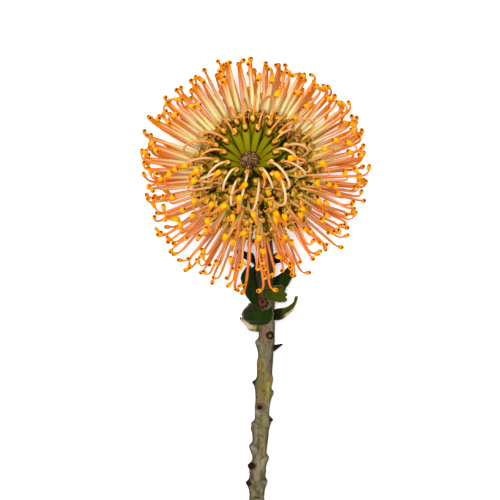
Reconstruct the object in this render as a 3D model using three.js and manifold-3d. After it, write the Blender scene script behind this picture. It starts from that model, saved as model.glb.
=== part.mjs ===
// A cut pincushion flower (Leucospermum), lying on a flat surface.
//
// The woody stem lies along -Y. Its top bends up through a short neck into the flower head, a ball
// of florets set at an angle to the stem, as this plant carries it. Each floret is a perianth, the
// tube whose lobes curl back, and a style, the long pin with a pollen presenter at its tip. The
// florets stand in rows round the head, so the head is built row by row: a ring of perianths, a
// ring of styles, and so on, with a gap between neighbouring rings. In the middle the florets are
// still shut, and their styles bow out in loops whose tips the perianths hold.
//
// Millimetres, +Z up, the surface at Z = 0. While it is built, the middle of the head stands over
// X = Y = 0, and the whole is shifted at the end so that its box is centred on the origin.

import * as THREE from "three";
import { mergeVertices } from "three/addons/utils/BufferGeometryUtils.js";
import Module from "manifold-3d";

const wasm = await Module();
wasm.setup();

// ---- Driving dimensions ---------------------------------------------------------------------

const HEAD_HEIGHT = 37; // of the head's middle above the surface
const HEAD_TILT = 27; // degrees, the head's axis from straight up
const HEAD_TURN = 12; // degrees, the way the head leans, from +Y towards -X
const RING_GAP = 0.3; // clear space between neighbouring rings of the head
const SOFT_LANDING = 1.5; // above the surface, where a style that meets it starts to bend

const CORE_RADIUS = 15.4; // the receptacle with the packed feet of the florets
const STYLE_ROWS = 6;
const STYLES_A_ROW = 16;
const LOWEST_STYLES = -20; // degrees above the head's equator
const HIGHEST_STYLES = 37;
const STYLE_ROOT = 14; // from the head's middle to where a style's straight shaft starts
const STYLE_SHAFT = 37; // in the lowest row
const SHAFT_LOSS = 11.5; // how much shorter the highest row's are
const HOOK_TURN = [84, 108]; // degrees, in the lowest and in the highest row
const HOOK_RADIUS = [6, 5.2];
const STYLE_RADIUS = 0.85; // at the root
const STYLE_TIP_RADIUS = 0.64; // just below the pollen presenter
const PRESENTER_RADIUS = 1.3;
const PRESENTER_LENGTH = 3.6;
const STYLE_BAND = 0.85; // half the thickness of the ring that the styles of a row stand on
const STYLE_BAND_RADIUS = 22;

const PERIANTHS_A_ROW = 13;
const LOWEST_PERIANTHS = -33; // degrees, lower edge of the lowest ring
const HIGHEST_PERIANTHS = 47;
const PERIANTH_BAND_RADIUS = 25.5;
const PERIANTH_REACH = 30.6; // the outside of the curled lobes

const SHUT_FLORETS = 13; // in each of the two rings round the centre
const LOOP_LATITUDE = 50;
const CENTRE_HEIGHT = 18.9; // of the centre buds above the head's middle
const CENTRE_RADIUS = 4.6;
const CENTRE_DOME = 3.2; // half the height of the cushion of centre buds
const CENTRE_RIBS = 12;

const BRACT_ROWS = 2;
const BRACTS_A_ROW = 10;

const SCAR_STEP = 3.1; // along the stem from one leaf scar to the next
const SCAR_TURN = 137.5; // degrees round the stem from one leaf scar to the next
const SCAR_RISE = 0.75;
const PEG_SUNK = 1; // how deep a bud or a stub is rooted in the stem
const STEM_SIDES = 12;
const LEAF_THICKNESS = 0.75;
const LEAF_LANES = 6;
const LEAF_STEPS = 6;

// The stem's middle line from inside the receptacle to the cut end: x, y, z and radius.
const STEM_LINE = [
  [1.2, -5.8, 25.4, 4.9],
  [2.5, -12.0, 12.9, 4.7],
  [3.1, -17.0, 8.7, 4.5],
  [3.7, -23.5, 7.0, 4.3],
  [4.5, -38.0, 6.5, 4.2],
  [5.1, -56.0, 6.2, 4.25],
  [5.2, -75.0, 5.8, 3.95],
  [4.5, -93.0, 5.3, 3.75],
  [3.4, -110.0, 4.8, 3.6],
  [2.1, -131.0, 4.3, 3.55],
  [0.6, -155.0, 3.6, 3.5],
  [-0.8, -176.0, 3.2, 3.45],
];

// ---- Small tools ----------------------------------------------------------------------------

const radians = THREE.MathUtils.degToRad;
const lerp = THREE.MathUtils.lerp;

// A repeatable number from -1 to 1 for each seed.
function wobble(seed) {
  const s = Math.sin(seed * 12.9898 + 4.1) * 43758.5453;
  return 2 * (s - Math.floor(s)) - 1;
}

// A point in the head's own frame from its distance, latitude and azimuth in degrees.
function headPoint(distance, latitude, azimuth) {
  const a = radians(azimuth);
  const l = radians(latitude);
  return new THREE.Vector3(
    distance * Math.cos(l) * Math.cos(a),
    distance * Math.cos(l) * Math.sin(a),
    distance * Math.sin(l),
  );
}

function solid(geometry) {
  const bare = new THREE.BufferGeometry();
  bare.setAttribute("position", geometry.getAttribute("position"));
  if (geometry.index) bare.setIndex(geometry.index);
  const merged = mergeVertices(bare, 1e-3);
  return new wasm.Manifold(
    new wasm.Mesh({
      numProp: 3,
      vertProperties: merged.attributes.position.array,
      triVerts: new Uint32Array(merged.index.array),
    }),
  );
}

// Joins geometries into one closed geometry.
function fuse(geometries) {
  const joined = wasm.Manifold.union(geometries.map(solid)).simplify(0.03);
  const mesh = joined.getMesh();
  const geometry = new THREE.BufferGeometry();
  geometry.setAttribute("position", new THREE.BufferAttribute(mesh.vertProperties, 3));
  geometry.setIndex(new THREE.BufferAttribute(mesh.triVerts, 1));
  return geometry;
}

// A tube through stations of { at, across, over }: the point and the half sizes of its section.
// `over` lies along the direction `up`, as far as the tube's own direction lets it.
function sweep(stations, sides, up) {
  const tube = new THREE.CylinderGeometry(1, 1, 1, sides, stations.length - 1);
  const position = tube.getAttribute("position");
  const frames = stations.map((station, i) => {
    const before = stations[Math.max(i - 1, 0)].at;
    const after = stations[Math.min(i + 1, stations.length - 1)].at;
    const along = after.clone().sub(before).normalize();
    const over = up.clone().addScaledVector(along, -up.dot(along)).normalize();
    const across = over.clone().cross(along);
    return { along, over, across };
  });
  const turn = Math.PI / sides; // puts a flat side, and not an edge, against `up`
  const point = new THREE.Vector3();
  for (let i = 0; i < position.count; i++) {
    const ring = Math.round((position.getY(i) + 0.5) * (stations.length - 1));
    const x = position.getX(i) * Math.cos(turn) - position.getZ(i) * Math.sin(turn);
    const z = position.getX(i) * Math.sin(turn) + position.getZ(i) * Math.cos(turn);
    const { at, across, over } = stations[ring];
    point
      .copy(at)
      .addScaledVector(frames[ring].over, x * over)
      .addScaledVector(frames[ring].across, z * across);
    position.setXYZ(i, point.x, point.y, point.z);
  }
  return tube;
}

// A ring round the head's axis with the section given by corners of { x: radius, y: height }.
function ringOf(corners, segments = 16) {
  const profile = [...corners, corners[0]].map(({ x, y }) => new THREE.Vector2(x, y));
  return new THREE.LatheGeometry(profile, segments).rotateX(Math.PI / 2);
}

// A corner of a ring's section: a distance and latitude, moved `shift` towards the top.
function corner(distance, latitude, shift = 0) {
  const l = radians(latitude);
  return {
    x: distance * Math.cos(l) - shift * Math.sin(l),
    y: distance * Math.sin(l) + shift * Math.cos(l),
  };
}

// ---- The head's frame -----------------------------------------------------------------------

const flower = new THREE.Group();
const head = new THREE.Group();
head.position.set(0, 0, HEAD_HEIGHT);
head.rotation.set(-radians(HEAD_TILT), 0, radians(HEAD_TURN), "ZXY");
flower.add(head);
head.updateMatrixWorld(true);
const headInverse = head.matrixWorld.clone().invert();

// Lifts a point of the head that would lie less than `lowest` above the surface.
function liftOffSurface(point, lowest) {
  const p = point.clone().applyMatrix4(head.matrixWorld);
  const above = Math.max(p.z - lowest, -SOFT_LANDING);
  if (above < SOFT_LANDING) p.z = lowest + (above + SOFT_LANDING) ** 2 / (4 * SOFT_LANDING);
  return p.applyMatrix4(headInverse);
}

// Flattens what still reaches below the surface, so that the flower rests on flat spots.
function flattenUnderside(geometry) {
  const position = geometry.getAttribute("position");
  const point = new THREE.Vector3();
  for (let i = 0; i < position.count; i++) {
    point.fromBufferAttribute(position, i).applyMatrix4(head.matrixWorld);
    if (point.z > 0) continue;
    point.setZ(0).applyMatrix4(headInverse);
    position.setXYZ(i, point.x, point.y, point.z);
  }
  return geometry;
}

function add(parent, name, geometry, colour, roughness = 0.6) {
  const material = new THREE.MeshStandardMaterial({ color: colour, roughness, metalness: 0 });
  const mesh = new THREE.Mesh(geometry, material);
  mesh.name = name;
  parent.add(mesh);
}

// ---- Styles ---------------------------------------------------------------------------------

function rowLatitude(row) {
  return lerp(LOWEST_STYLES, HIGHEST_STYLES, row / (STYLE_ROWS - 1));
}

// A style goes straight out and then hooks up towards the head's axis.
function style(row, azimuth) {
  const share = row / (STYLE_ROWS - 1);
  const start = radians(rowLatitude(row));
  const shaft = STYLE_SHAFT - SHAFT_LOSS * share ** 3.2 + 0.8 * wobble(row * 31 + azimuth);
  const hook = radians(lerp(...HOOK_TURN, share));
  const hookRadius = lerp(...HOOK_RADIUS, share);
  const out = headPoint(1, 0, azimuth);
  const axis = new THREE.Vector3(0, 0, 1);

  const inPlane = (radius, height) =>
    out.clone().multiplyScalar(radius).addScaledVector(axis, height);
  const onShaft = (distance) =>
    inPlane(distance * Math.cos(start), distance * Math.sin(start));
  const onHook = (turned) => {
    const angle = start + turned;
    return onShaft(STYLE_ROOT + shaft).add(
      inPlane(
        hookRadius * (Math.sin(angle) - Math.sin(start)),
        hookRadius * (Math.cos(start) - Math.cos(angle)),
      ),
    );
  };
  const ahead = inPlane(Math.cos(start + hook), Math.sin(start + hook));
  const presenter = (distance) =>
    onHook(hook * 0.9).addScaledVector(ahead, distance * PRESENTER_LENGTH);

  const places = [
    [onShaft(STYLE_BAND_RADIUS - 3), STYLE_RADIUS],
    [onShaft(STYLE_ROOT + shaft), STYLE_TIP_RADIUS],
    [onHook(hook * 0.5), STYLE_TIP_RADIUS],
    [onHook(hook * 0.9), STYLE_TIP_RADIUS * 1.1],
    [presenter(0.45), PRESENTER_RADIUS],
    [presenter(1), PRESENTER_RADIUS * 0.45],
  ];
  if (row < 2) places.splice(1, 0, [onShaft(STYLE_ROOT + shaft * 0.62), STYLE_TIP_RADIUS * 1.15]);
  const halfFlat = Math.SQRT1_2; // from a four-sided tube's middle to its flat side
  const stations = places.map(([point, radius]) => ({
    at: liftOffSurface(point, radius * halfFlat - 0.04),
    across: radius,
    over: radius,
  }));
  return flattenUnderside(sweep(stations, 4, inPlane(-Math.sin(start), Math.cos(start))));
}

function styleRing(row) {
  const latitude = rowLatitude(row);
  const band = ringOf([
    corner(CORE_RADIUS + RING_GAP, latitude, -STYLE_BAND),
    corner(STYLE_BAND_RADIUS, latitude, -STYLE_BAND),
    corner(STYLE_BAND_RADIUS, latitude, STYLE_BAND),
    corner(CORE_RADIUS + RING_GAP, latitude, STYLE_BAND),
  ]);
  const styles = [];
  for (let i = 0; i < STYLES_A_ROW; i++) {
    // The far side of the head, at 90 degrees, has a style of the lowest row in its middle.
    const azimuth = 90 + (360 * (i + (row % 2) / 2)) / STYLES_A_ROW;
    styles.push(style(row, azimuth));
  }
  return fuse([band, ...styles]);
}

for (let row = 0; row < STYLE_ROWS; row++)
  add(head, `styles_row_${row + 1}`, styleRing(row), 0xee7d33, 0.5);

// ---- Open perianths -------------------------------------------------------------------------

// The latitudes between which ring `i` of the perianths lies: the rows of styles part them.
function perianthEdges(i) {
  return {
    low: i === 0 ? LOWEST_PERIANTHS : rowLatitude(i - 1),
    high: i === STYLE_ROWS ? HIGHEST_PERIANTHS : rowLatitude(i),
  };
}

// A perianth that has opened: its lobes stand out of the ring and curl over to one side.
function curledPerianth(latitude, azimuth, side) {
  const sideways = (millimetres) => (side * millimetres * 180) / (Math.PI * PERIANTH_REACH);
  const places = [
    [PERIANTH_BAND_RADIUS - 1, 0, 1.7, 1.2],
    [PERIANTH_REACH - 1.8, sideways(1.2), 2.2, 1.5],
    [PERIANTH_REACH - 3.4, sideways(5.2), 1.3, 1.0],
  ];
  const stations = places.map(([distance, turn, across, over]) => ({
    at: headPoint(distance, latitude, azimuth + turn / Math.cos(radians(latitude))),
    across,
    over,
  }));
  return sweep(stations, 4, headPoint(1, latitude + 90, azimuth));
}

function perianthRing(i) {
  const { low, high } = perianthEdges(i);
  const below = i === 0 ? 0 : STYLE_BAND + RING_GAP;
  const above = i === STYLE_ROWS ? 0 : -STYLE_BAND - RING_GAP;
  const band = ringOf([
    corner(CORE_RADIUS + RING_GAP, low, below),
    corner(PERIANTH_BAND_RADIUS, low, below),
    corner(PERIANTH_BAND_RADIUS, high, above),
    corner(CORE_RADIUS + RING_GAP, high, above),
  ]);
  const latitude = (low + high) / 2;
  const curls = [];
  for (let k = 0; k < PERIANTHS_A_ROW; k++) {
    const azimuth = (360 * (k + 0.25 + 0.5 * (i % 2))) / PERIANTHS_A_ROW;
    curls.push(curledPerianth(latitude, azimuth, i % 2 ? 1 : -1));
  }
  return fuse([band, ...curls]);
}

for (let i = 0; i <= STYLE_ROWS; i++)
  add(head, `perianths_row_${i + 1}`, perianthRing(i), 0xb9a13c, 0.75);

// ---- Shut florets and centre ----------------------------------------------------------------

// A shut perianth: a green tube that leans out from the centre and ends in a fat limb.
function shutPerianth(azimuth, places) {
  const stations = places.map(([radius, height, thickness]) => ({
    at: headPoint(radius, 0, azimuth).setZ(height),
    across: thickness,
    over: thickness,
  }));
  return sweep(stations, 4, headPoint(1, 0, azimuth));
}

function shutFlorets() {
  const funnel = ringOf([
    { x: 4.2, y: 16.2 },
    { x: 9.8, y: 13.2 },
    { x: 15.4, y: 20.8 },
    { x: 12.4, y: 23.4 },
    { x: 8.2, y: 19.8 },
  ]);
  const tubes = [];
  for (let k = 0; k < SHUT_FLORETS; k++) {
    const azimuth = (360 * k) / SHUT_FLORETS;
    tubes.push(
      shutPerianth(azimuth, [
        [6.4, 16.4, 1.5],
        [9.6, 22.6, 1.7],
        [11.9, 26.4, 1.9],
        [12.9, 28.4, 1.1],
      ]),
      shutPerianth(azimuth + 180 / SHUT_FLORETS, [
        [12.6, 20.0, 1.6],
        [16.6, 25.2, 1.9],
        [17.8, 27.0, 1.0],
      ]),
    );
  }
  return fuse([funnel, ...tubes]);
}
add(head, "shut_perianths", shutFlorets(), 0x8a9a2c, 0.6);

// A style whose tip is still held: it rises out of the ring, turns back over itself and ends
// just short of its perianth's limb.
function loopedStyle(azimuth) {
  const places = [
    [19.5, LOOP_LATITUDE, 0.9],
    [27.0, LOOP_LATITUDE - 0.5, 0.75],
    [31.4, LOOP_LATITUDE - 1, 0.7],
    [34.0, LOOP_LATITUDE + 3, 0.7],
    [33.9, LOOP_LATITUDE + 9, 0.7],
    [32.4, LOOP_LATITUDE + 14, 0.8],
  ];
  const stations = places.map(([distance, latitude, radius]) => ({
    at: headPoint(distance, latitude, azimuth),
    across: radius,
    over: radius,
  }));
  return sweep(stations, 4, headPoint(1, 0, azimuth + 90));
}

function loopRing() {
  const band = ringOf([
    corner(CORE_RADIUS + RING_GAP, LOOP_LATITUDE, -0.35),
    corner(23.2, LOOP_LATITUDE, -0.35),
    corner(23.2, LOOP_LATITUDE, 0.85),
    corner(CORE_RADIUS + RING_GAP, LOOP_LATITUDE, 0.85),
  ]);
  const loops = [];
  for (let k = 0; k < SHUT_FLORETS; k++) loops.push(loopedStyle((360 * k) / SHUT_FLORETS));
  return fuse([band, ...loops]);
}
add(head, "looped_styles", loopRing(), 0xf08a3c, 0.5);

// The smallest buds, packed into a ribbed cushion in the very middle.
function centreBuds() {
  const cushion = new THREE.SphereGeometry(1, 2 * CENTRE_RIBS, 8).rotateX(Math.PI / 2);
  const position = cushion.getAttribute("position");
  for (let i = 0; i < position.count; i++) {
    const x = position.getX(i);
    const y = position.getY(i);
    const rib = 0.08 * Math.hypot(x, y) * Math.cos(CENTRE_RIBS * Math.atan2(y, x));
    const radius = CENTRE_RADIUS * (1 + rib);
    position.setXYZ(i, x * radius, y * radius, position.getZ(i) * CENTRE_DOME + CENTRE_HEIGHT);
  }
  return cushion;
}
add(head, "centre_buds", centreBuds(), 0x5b3a3a, 0.9);

// ---- Involucre ------------------------------------------------------------------------------

// The bracts under the head overlap like scales, in rows from the neck outwards.
function involucre() {
  const cup = ringOf([
    { x: 5.6, y: -24.6 },
    { x: 15.6, y: -16.0 },
    { x: 19.4, y: -14.0 },
    { x: 18.2, y: -12.4 },
    { x: 13.2, y: -11.2 },
    { x: 5.6, y: -20.6 },
  ]);
  const bracts = [cup];
  for (let row = 0; row < BRACT_ROWS; row++)
    for (let k = 0; k < BRACTS_A_ROW; k++) {
      const azimuth = (360 * (k + row / 2)) / BRACTS_A_ROW;
      const foot = 8.2 + 4.6 * row;
      const base = headPoint(foot, 0, azimuth).setZ(-22.2 + 3.9 * row);
      const tip = headPoint(foot + 5.6, 0, azimuth).setZ(-18.6 + 2.5 * row);
      const middle = base.clone().lerp(tip, 0.45);
      middle.z -= 0.5;
      const stations = [
        { at: base, across: 1.6, over: 1.0 },
        { at: middle, across: 2.6, over: 0.9 },
        { at: tip, across: 0.5, over: 0.4 },
      ];
      bracts.push(sweep(stations, 4, new THREE.Vector3(0, 0, 1)));
    }
  return fuse(bracts);
}
add(head, "involucre", involucre(), 0x8d8a5a, 0.85);

// ---- Stem -----------------------------------------------------------------------------------

const stemCurve = new THREE.CatmullRomCurve3(
  STEM_LINE.map(([x, y, z]) => new THREE.Vector3(x, y, z)),
  false,
  "centripetal",
);
const STEM_LENGTH = stemCurve.getLength();

// The stem's radius, without its scars, at a share of its length.
function stemRadius(share) {
  const place = stemCurve.getUtoTmapping(share) * (STEM_LINE.length - 1);
  const i = Math.min(Math.floor(place), STEM_LINE.length - 2);
  return lerp(STEM_LINE[i][3], STEM_LINE[i + 1][3], place - i);
}

// The stem: a ring of vertices at each leaf scar, and each scar raises its ring at its own side.
function stemWood() {
  const rings = Math.round(STEM_LENGTH / SCAR_STEP);
  const wood = new THREE.CylinderGeometry(1, 1, 1, STEM_SIDES, rings);
  const position = wood.getAttribute("position");
  const sideways = new THREE.Vector3(1, 0, 0);
  const point = new THREE.Vector3();
  for (let i = 0; i < position.count; i++) {
    const share = position.getY(i) + 0.5;
    const ring = Math.round(share * rings);
    const along = stemCurve.getTangentAt(share);
    const across = sideways.clone().addScaledVector(along, -sideways.dot(along)).normalize();
    const over = along.clone().cross(across);
    const angle = Math.atan2(position.getZ(i), position.getX(i));
    const onAxis = Math.hypot(position.getX(i), position.getZ(i)) < 0.5;
    const apart = Math.cos(angle - radians(SCAR_TURN * ring));
    const scarred = ring > 3 && ring < rings;
    const scar = scarred ? SCAR_RISE * Math.max(0, apart) ** 6 : 0;
    const radius = onAxis ? 0 : stemRadius(share) + scar;
    point
      .copy(stemCurve.getPointAt(share))
      .addScaledVector(across, radius * Math.cos(angle))
      .addScaledVector(over, -radius * Math.sin(angle));
    position.setXYZ(i, point.x, point.y, Math.max(0, point.z));
  }
  return wood;
}

// The receptacle: the stem's widened end, with the packed feet of the florets round it.
function receptacle() {
  const ball = new THREE.SphereGeometry(CORE_RADIUS, 14, 8).rotateX(Math.PI / 2);
  return ball.applyMatrix4(head.matrixWorld);
}

// A bud in a leaf's axil, or the stub of a leaf stalk: a short tapered peg out of the stem.
function peg(share, angle, length, radius, lean) {
  const along = stemCurve.getTangentAt(share);
  const sideways = new THREE.Vector3(1, 0, 0).addScaledVector(along, -along.x).normalize();
  const over = along.clone().cross(sideways);
  const out = sideways
    .multiplyScalar(Math.cos(radians(angle)))
    .addScaledVector(over, Math.sin(radians(angle)));
  const root = stemCurve.getPointAt(share).addScaledVector(out, stemRadius(share) - PEG_SUNK);
  const reach = out.clone().multiplyScalar(length + PEG_SUNK).addScaledVector(along, -lean);
  const places = [
    [0, radius],
    [0.65, radius * 0.95],
    [1, radius * 0.4],
  ];
  const stations = places.map(([distance, thickness]) => ({
    at: root.clone().addScaledVector(reach, distance),
    across: thickness,
    over: thickness,
  }));
  return sweep(stations, 6, along);
}

const stem = fuse([
  stemWood(),
  receptacle(),
  peg(0.366, 110, 1.4, 1.9, 0.4), // bud over the front leaf
  peg(0.497, 8, 4.2, 1.6, 3.2), // stub of a leaf stalk
  peg(0.632, 172, 1.2, 1.2, 0.6), // lower bud
]);
add(flower, "stem", stem, 0x8b8468, 0.85);

// ---- Leaves ---------------------------------------------------------------------------------

// A leaf blade along `midrib`, a curve through points from the foot to the tip. Its upper side looks
// towards `face[0]` at the foot and `face[1]` at the tip. `width` is the greatest, `foot` and `apex`
// are the shares of it at the two ends, `cup` raises the edges and `teeth` is the depth of the three
// teeth at the apex.
function leaf({ midrib, face, width, foot = 0.3, apex = 0.4, cup = 0, teeth = 0 }) {
  const curve = new THREE.CatmullRomCurve3(midrib.map((p) => new THREE.Vector3(...p)));
  const [faceFoot, faceTip] = face.map((f) => new THREE.Vector3(...f).normalize());
  const sheet = new THREE.PlaneGeometry(2, 1, LEAF_LANES, LEAF_STEPS);
  const position = sheet.getAttribute("position");
  for (let i = 0; i < position.count; i++) {
    const lane = position.getX(i);
    const share = position.getY(i) + 0.5;
    const along = curve.getTangentAt(share);
    const up = faceFoot.clone().lerp(faceTip, share);
    up.addScaledVector(along, -up.dot(along)).normalize();
    const side = along.clone().cross(up);
    const swell = Math.sin(Math.PI * share ** 0.85) ** 0.8;
    const half = (width / 2) * lerp(lerp(foot, apex, share), 1, swell);
    const tooth = teeth * share ** 8 * Math.cos(3 * Math.PI * lane);
    const point = curve
      .getPointAt(share)
      .addScaledVector(side, half * lane)
      .addScaledVector(up, half * cup * lane * lane)
      .addScaledVector(along, tooth - 0.35 * half * share ** 4 * lane * lane);
    position.setXYZ(i, point.x, point.y, point.z);
  }
  return thicken(sheet);
}

// Gives a sheet a thickness: the same triangles on both faces, and a wall round the edge.
function thicken(sheet) {
  sheet.computeVertexNormals();
  const { position, normal } = sheet.attributes;
  const count = position.count;
  const vertices = new Float32Array(count * 6);
  position.array.forEach((middle, i) => {
    const half = (normal.array[i] * LEAF_THICKNESS) / 2;
    vertices[i] = middle + half;
    vertices[3 * count + i] = middle - half;
  });
  const faces = [...sheet.index.array];
  for (let i = 0; i < sheet.index.count; i += 3) {
    const [a, b, c] = faces.slice(i, i + 3);
    faces.push(count + a, count + c, count + b);
  }
  const row = LEAF_LANES + 1;
  const edge = [];
  for (let i = 0; i < LEAF_LANES; i++) edge.push(i);
  for (let i = 0; i < LEAF_STEPS; i++) edge.push(i * row + LEAF_LANES);
  for (let i = LEAF_LANES; i > 0; i--) edge.push(LEAF_STEPS * row + i);
  for (let i = LEAF_STEPS; i > 0; i--) edge.push(i * row);
  edge.forEach((a, i) => {
    const b = edge[(i + 1) % edge.length];
    faces.push(a, b, count + a, b, count + b, count + a);
  });
  const blade = new THREE.BufferGeometry();
  blade.setAttribute("position", new THREE.BufferAttribute(vertices, 3));
  blade.setIndex(faces);
  return blade;
}

const LEAVES = {
  leaf_front: {
    midrib: [[4.0, -72.8, 11.2], [2.8, -70.2, 13.6], [1.0, -66.8, 15.6], [-0.2, -63.4, 16.6]],
    face: [[0, 0.7, -0.7], [0, 0.5, -0.9]],
    width: 16, foot: 0.55, apex: 0.8, cup: 0.3, teeth: -0.9,
  },
  leaf_right: {
    midrib: [[9.9, -70.0, 6.6], [14.2, -69.0, 8.4], [17.8, -64.8, 10.2], [19.8, -58.4, 10.8]],
    face: [[-0.2, 0.9, 0.5], [-0.8, 0.5, 0.3]],
    width: 9, foot: 0.5, apex: 0.12, cup: 0.5,
  },
  leaf_left: {
    midrib: [[0.3, -74.2, 6.8], [-3.4, -73.0, 6.6], [-8.2, -69.8, 6.2]],
    face: [[0.4, 0.9, 0.35], [0.4, 0.9, 0.2]],
    width: 9, foot: 0.5, apex: 0.6, cup: 0.2,
  },
  leaf_middle: {
    midrib: [[5.6, -58.0, 11.4], [9.0, -58.0, 13.4], [12.6, -59.0, 14.6], [15.0, -60.0, 14.2]],
    face: [[-0.3, -0.1, 1], [0.1, -0.2, 1]],
    width: 8.4, foot: 0.6, apex: 0.6, cup: -0.3, teeth: 0.7,
  },
  leaf_upper_right: {
    midrib: [[10.6, -55.8, 6.0], [13.8, -51.6, 7.4], [15.6, -45.8, 8.8], [14.4, -38.4, 9.2]],
    face: [[-0.7, 0.3, 0.7], [-0.7, -0.1, 0.7]],
    width: 8.6, foot: 0.4, apex: 0.5, cup: 0.4, teeth: 0.8,
  },
  leaf_upper_left: {
    midrib: [[-0.6, -61.4, 6.4], [-3.0, -57.8, 7.4], [-4.6, -52.0, 9.0], [-4.4, -45.4, 10.8]],
    face: [[0.7, 0.3, 0.7], [0.5, -0.2, 0.8]],
    width: 8.8, foot: 0.4, apex: 0.75, cup: 0.4, teeth: 0.9,
  },
  leaf_behind: {
    midrib: [[-1.0, -46.4, 6.0], [-4.0, -42.8, 6.4], [-7.2, -38.8, 7.4], [-10.2, -35.0, 8.8]],
    face: [[0.5, -0.2, 0.8], [0.5, -0.4, 0.8]],
    width: 7.5, foot: 0.35, apex: 0.5, cup: 0.4, teeth: 0.7,
  },
};
const LEAF_GREENS = [0x3f5a1e, 0x4a6128, 0x33501f, 0x66702f, 0x2c4a1c, 0x35551f, 0x2f4c20];
Object.entries(LEAVES).forEach(([name, shape], i) => {
  add(flower, name, leaf(shape), LEAF_GREENS[i], 0.55);
});

// ---- Origin ---------------------------------------------------------------------------------

flower.updateMatrixWorld(true);
const box = new THREE.Box3().setFromObject(flower, true);
const middle = box.getCenter(new THREE.Vector3());
flower.position.set(-middle.x, -middle.y, -box.min.z);

export default flower;
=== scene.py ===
"""Dresses the cut pincushion flower: florets, styles, buds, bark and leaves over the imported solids.

The flower lies on the surface with its stem along -Y. Pieces of the head are laid out in the head's
own frame, with Z along the head's axis, and are then turned into place.
"""

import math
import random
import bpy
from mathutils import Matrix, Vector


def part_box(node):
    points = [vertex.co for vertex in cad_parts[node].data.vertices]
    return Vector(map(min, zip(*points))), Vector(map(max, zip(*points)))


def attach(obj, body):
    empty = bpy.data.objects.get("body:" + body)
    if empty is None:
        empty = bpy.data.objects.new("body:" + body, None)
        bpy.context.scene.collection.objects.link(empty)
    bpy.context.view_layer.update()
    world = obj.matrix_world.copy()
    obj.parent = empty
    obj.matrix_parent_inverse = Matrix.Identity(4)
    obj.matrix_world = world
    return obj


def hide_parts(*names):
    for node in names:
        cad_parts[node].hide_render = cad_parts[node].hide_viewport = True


bl_info = {
    "name": "Pincushion protea flower",
    "version": (1, 0, 0),
    "blender": (4, 5, 0),
    "location": "View3D > Sidebar > Protea",
    "description": "Builds the florets, stem and leaves of a cut pincushion protea flower",
    "category": "Object",
}

import bmesh
import bpy
import numpy as np
from mathutils import Matrix, Vector, noise

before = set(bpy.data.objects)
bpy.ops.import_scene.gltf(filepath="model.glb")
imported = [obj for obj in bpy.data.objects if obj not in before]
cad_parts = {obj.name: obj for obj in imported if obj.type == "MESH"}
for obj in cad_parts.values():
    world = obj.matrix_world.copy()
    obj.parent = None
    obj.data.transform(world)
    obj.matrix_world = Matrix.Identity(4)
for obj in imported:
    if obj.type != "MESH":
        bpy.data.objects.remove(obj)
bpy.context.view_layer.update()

mm = 0.001
GOLDEN = 137.508  # degrees from one floret to the next


# ---- The head's frame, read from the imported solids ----

HEAD_TILT = 27  # degrees that the head's axis leans away from the stem
HEAD_TURN = 12  # degrees that it is then turned about the upright
CENTRE_HEIGHT = 18.9 * mm  # of the centre buds above the head's middle
CENTRE_SHIFT = (-1.6 * mm, -1.5 * mm, 0.0)  # of the centre buds from the head's axis
CENTRE_REACH = 10 * mm  # how far round them the florets are shifted too

HEAD_ROTATION = Matrix.Rotation(math.radians(HEAD_TURN), 3, "Z") @ Matrix.Rotation(
    -math.radians(HEAD_TILT), 3, "X"
)
_low, _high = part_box("centre_buds")
HEAD_MIDDLE = (_low + _high) / 2 - HEAD_ROTATION @ Vector((0, 0, CENTRE_HEIGHT))


def rgb(red, green, blue):
    """A screen colour, 0 to 255 a channel, as the linear colour that the materials take."""
    return tuple((c / 255) ** 2.2 for c in (red, green, blue))


def colour_property(name, description, default):
    return bpy.props.FloatVectorProperty(
        name=name, description=description, default=default, subtype="COLOR", min=0, max=1
    )


def number_property(name, description, default, **limits):
    return bpy.props.FloatProperty(name=name, description=description, default=default, **limits)


def length_property(name, description, default):
    return number_property(name, description, default, min=0, unit="LENGTH", precision=4)


def angle_property(name, description, degrees):
    return number_property(name, description, math.radians(degrees), subtype="ANGLE")


def count_property(name, description, default, least=0):
    return bpy.props.IntProperty(name=name, description=description, default=default, min=least)


# ---- What a user would change ----


class HeadSettings(bpy.types.PropertyGroup):
    florets: count_property("Open florets", "Florets whose styles are free", 330, 20)
    lowest: angle_property("Lowest floret", "Latitude of the lowest florets on the head", -28)
    highest: angle_property("Highest floret", "Latitude of the innermost open florets", 54)
    sheaf: angle_property("Sheaf", "How far styles lean into their sheaf", 2)
    shaft: length_property("Style shaft", "Straight length of the lowest styles", 36.4 * mm)
    shaft_loss: length_property("Shaft loss", "How much shorter the innermost are", 11 * mm)
    far_side: length_property("Far side", "How much longer they are away from the stem", 5 * mm)
    uneven: length_property("Uneven", "Height of a bump of size 1 in the outline", 1 * mm)
    style_foot: length_property("Style foot", "Half thickness of a style at its foot", 0.9 * mm)
    style_neck: length_property("Style neck", "Half thickness of a style at its hook", 0.54 * mm)
    presenter: length_property("Presenter", "Length of the pollen presenter at a tip", 3.4 * mm)
    presenter_width: length_property("Presenter width", "Its greatest half thickness", 1.22 * mm)
    mass: length_property("Floret mass", "Radius of the ball of curled perianths", 31.2 * mm)
    shut: count_property("Shut florets", "Shut florets in each of their two rings", 13, 5)
    seed: count_property("Seed", "Another seed, another flower", 4)


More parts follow.
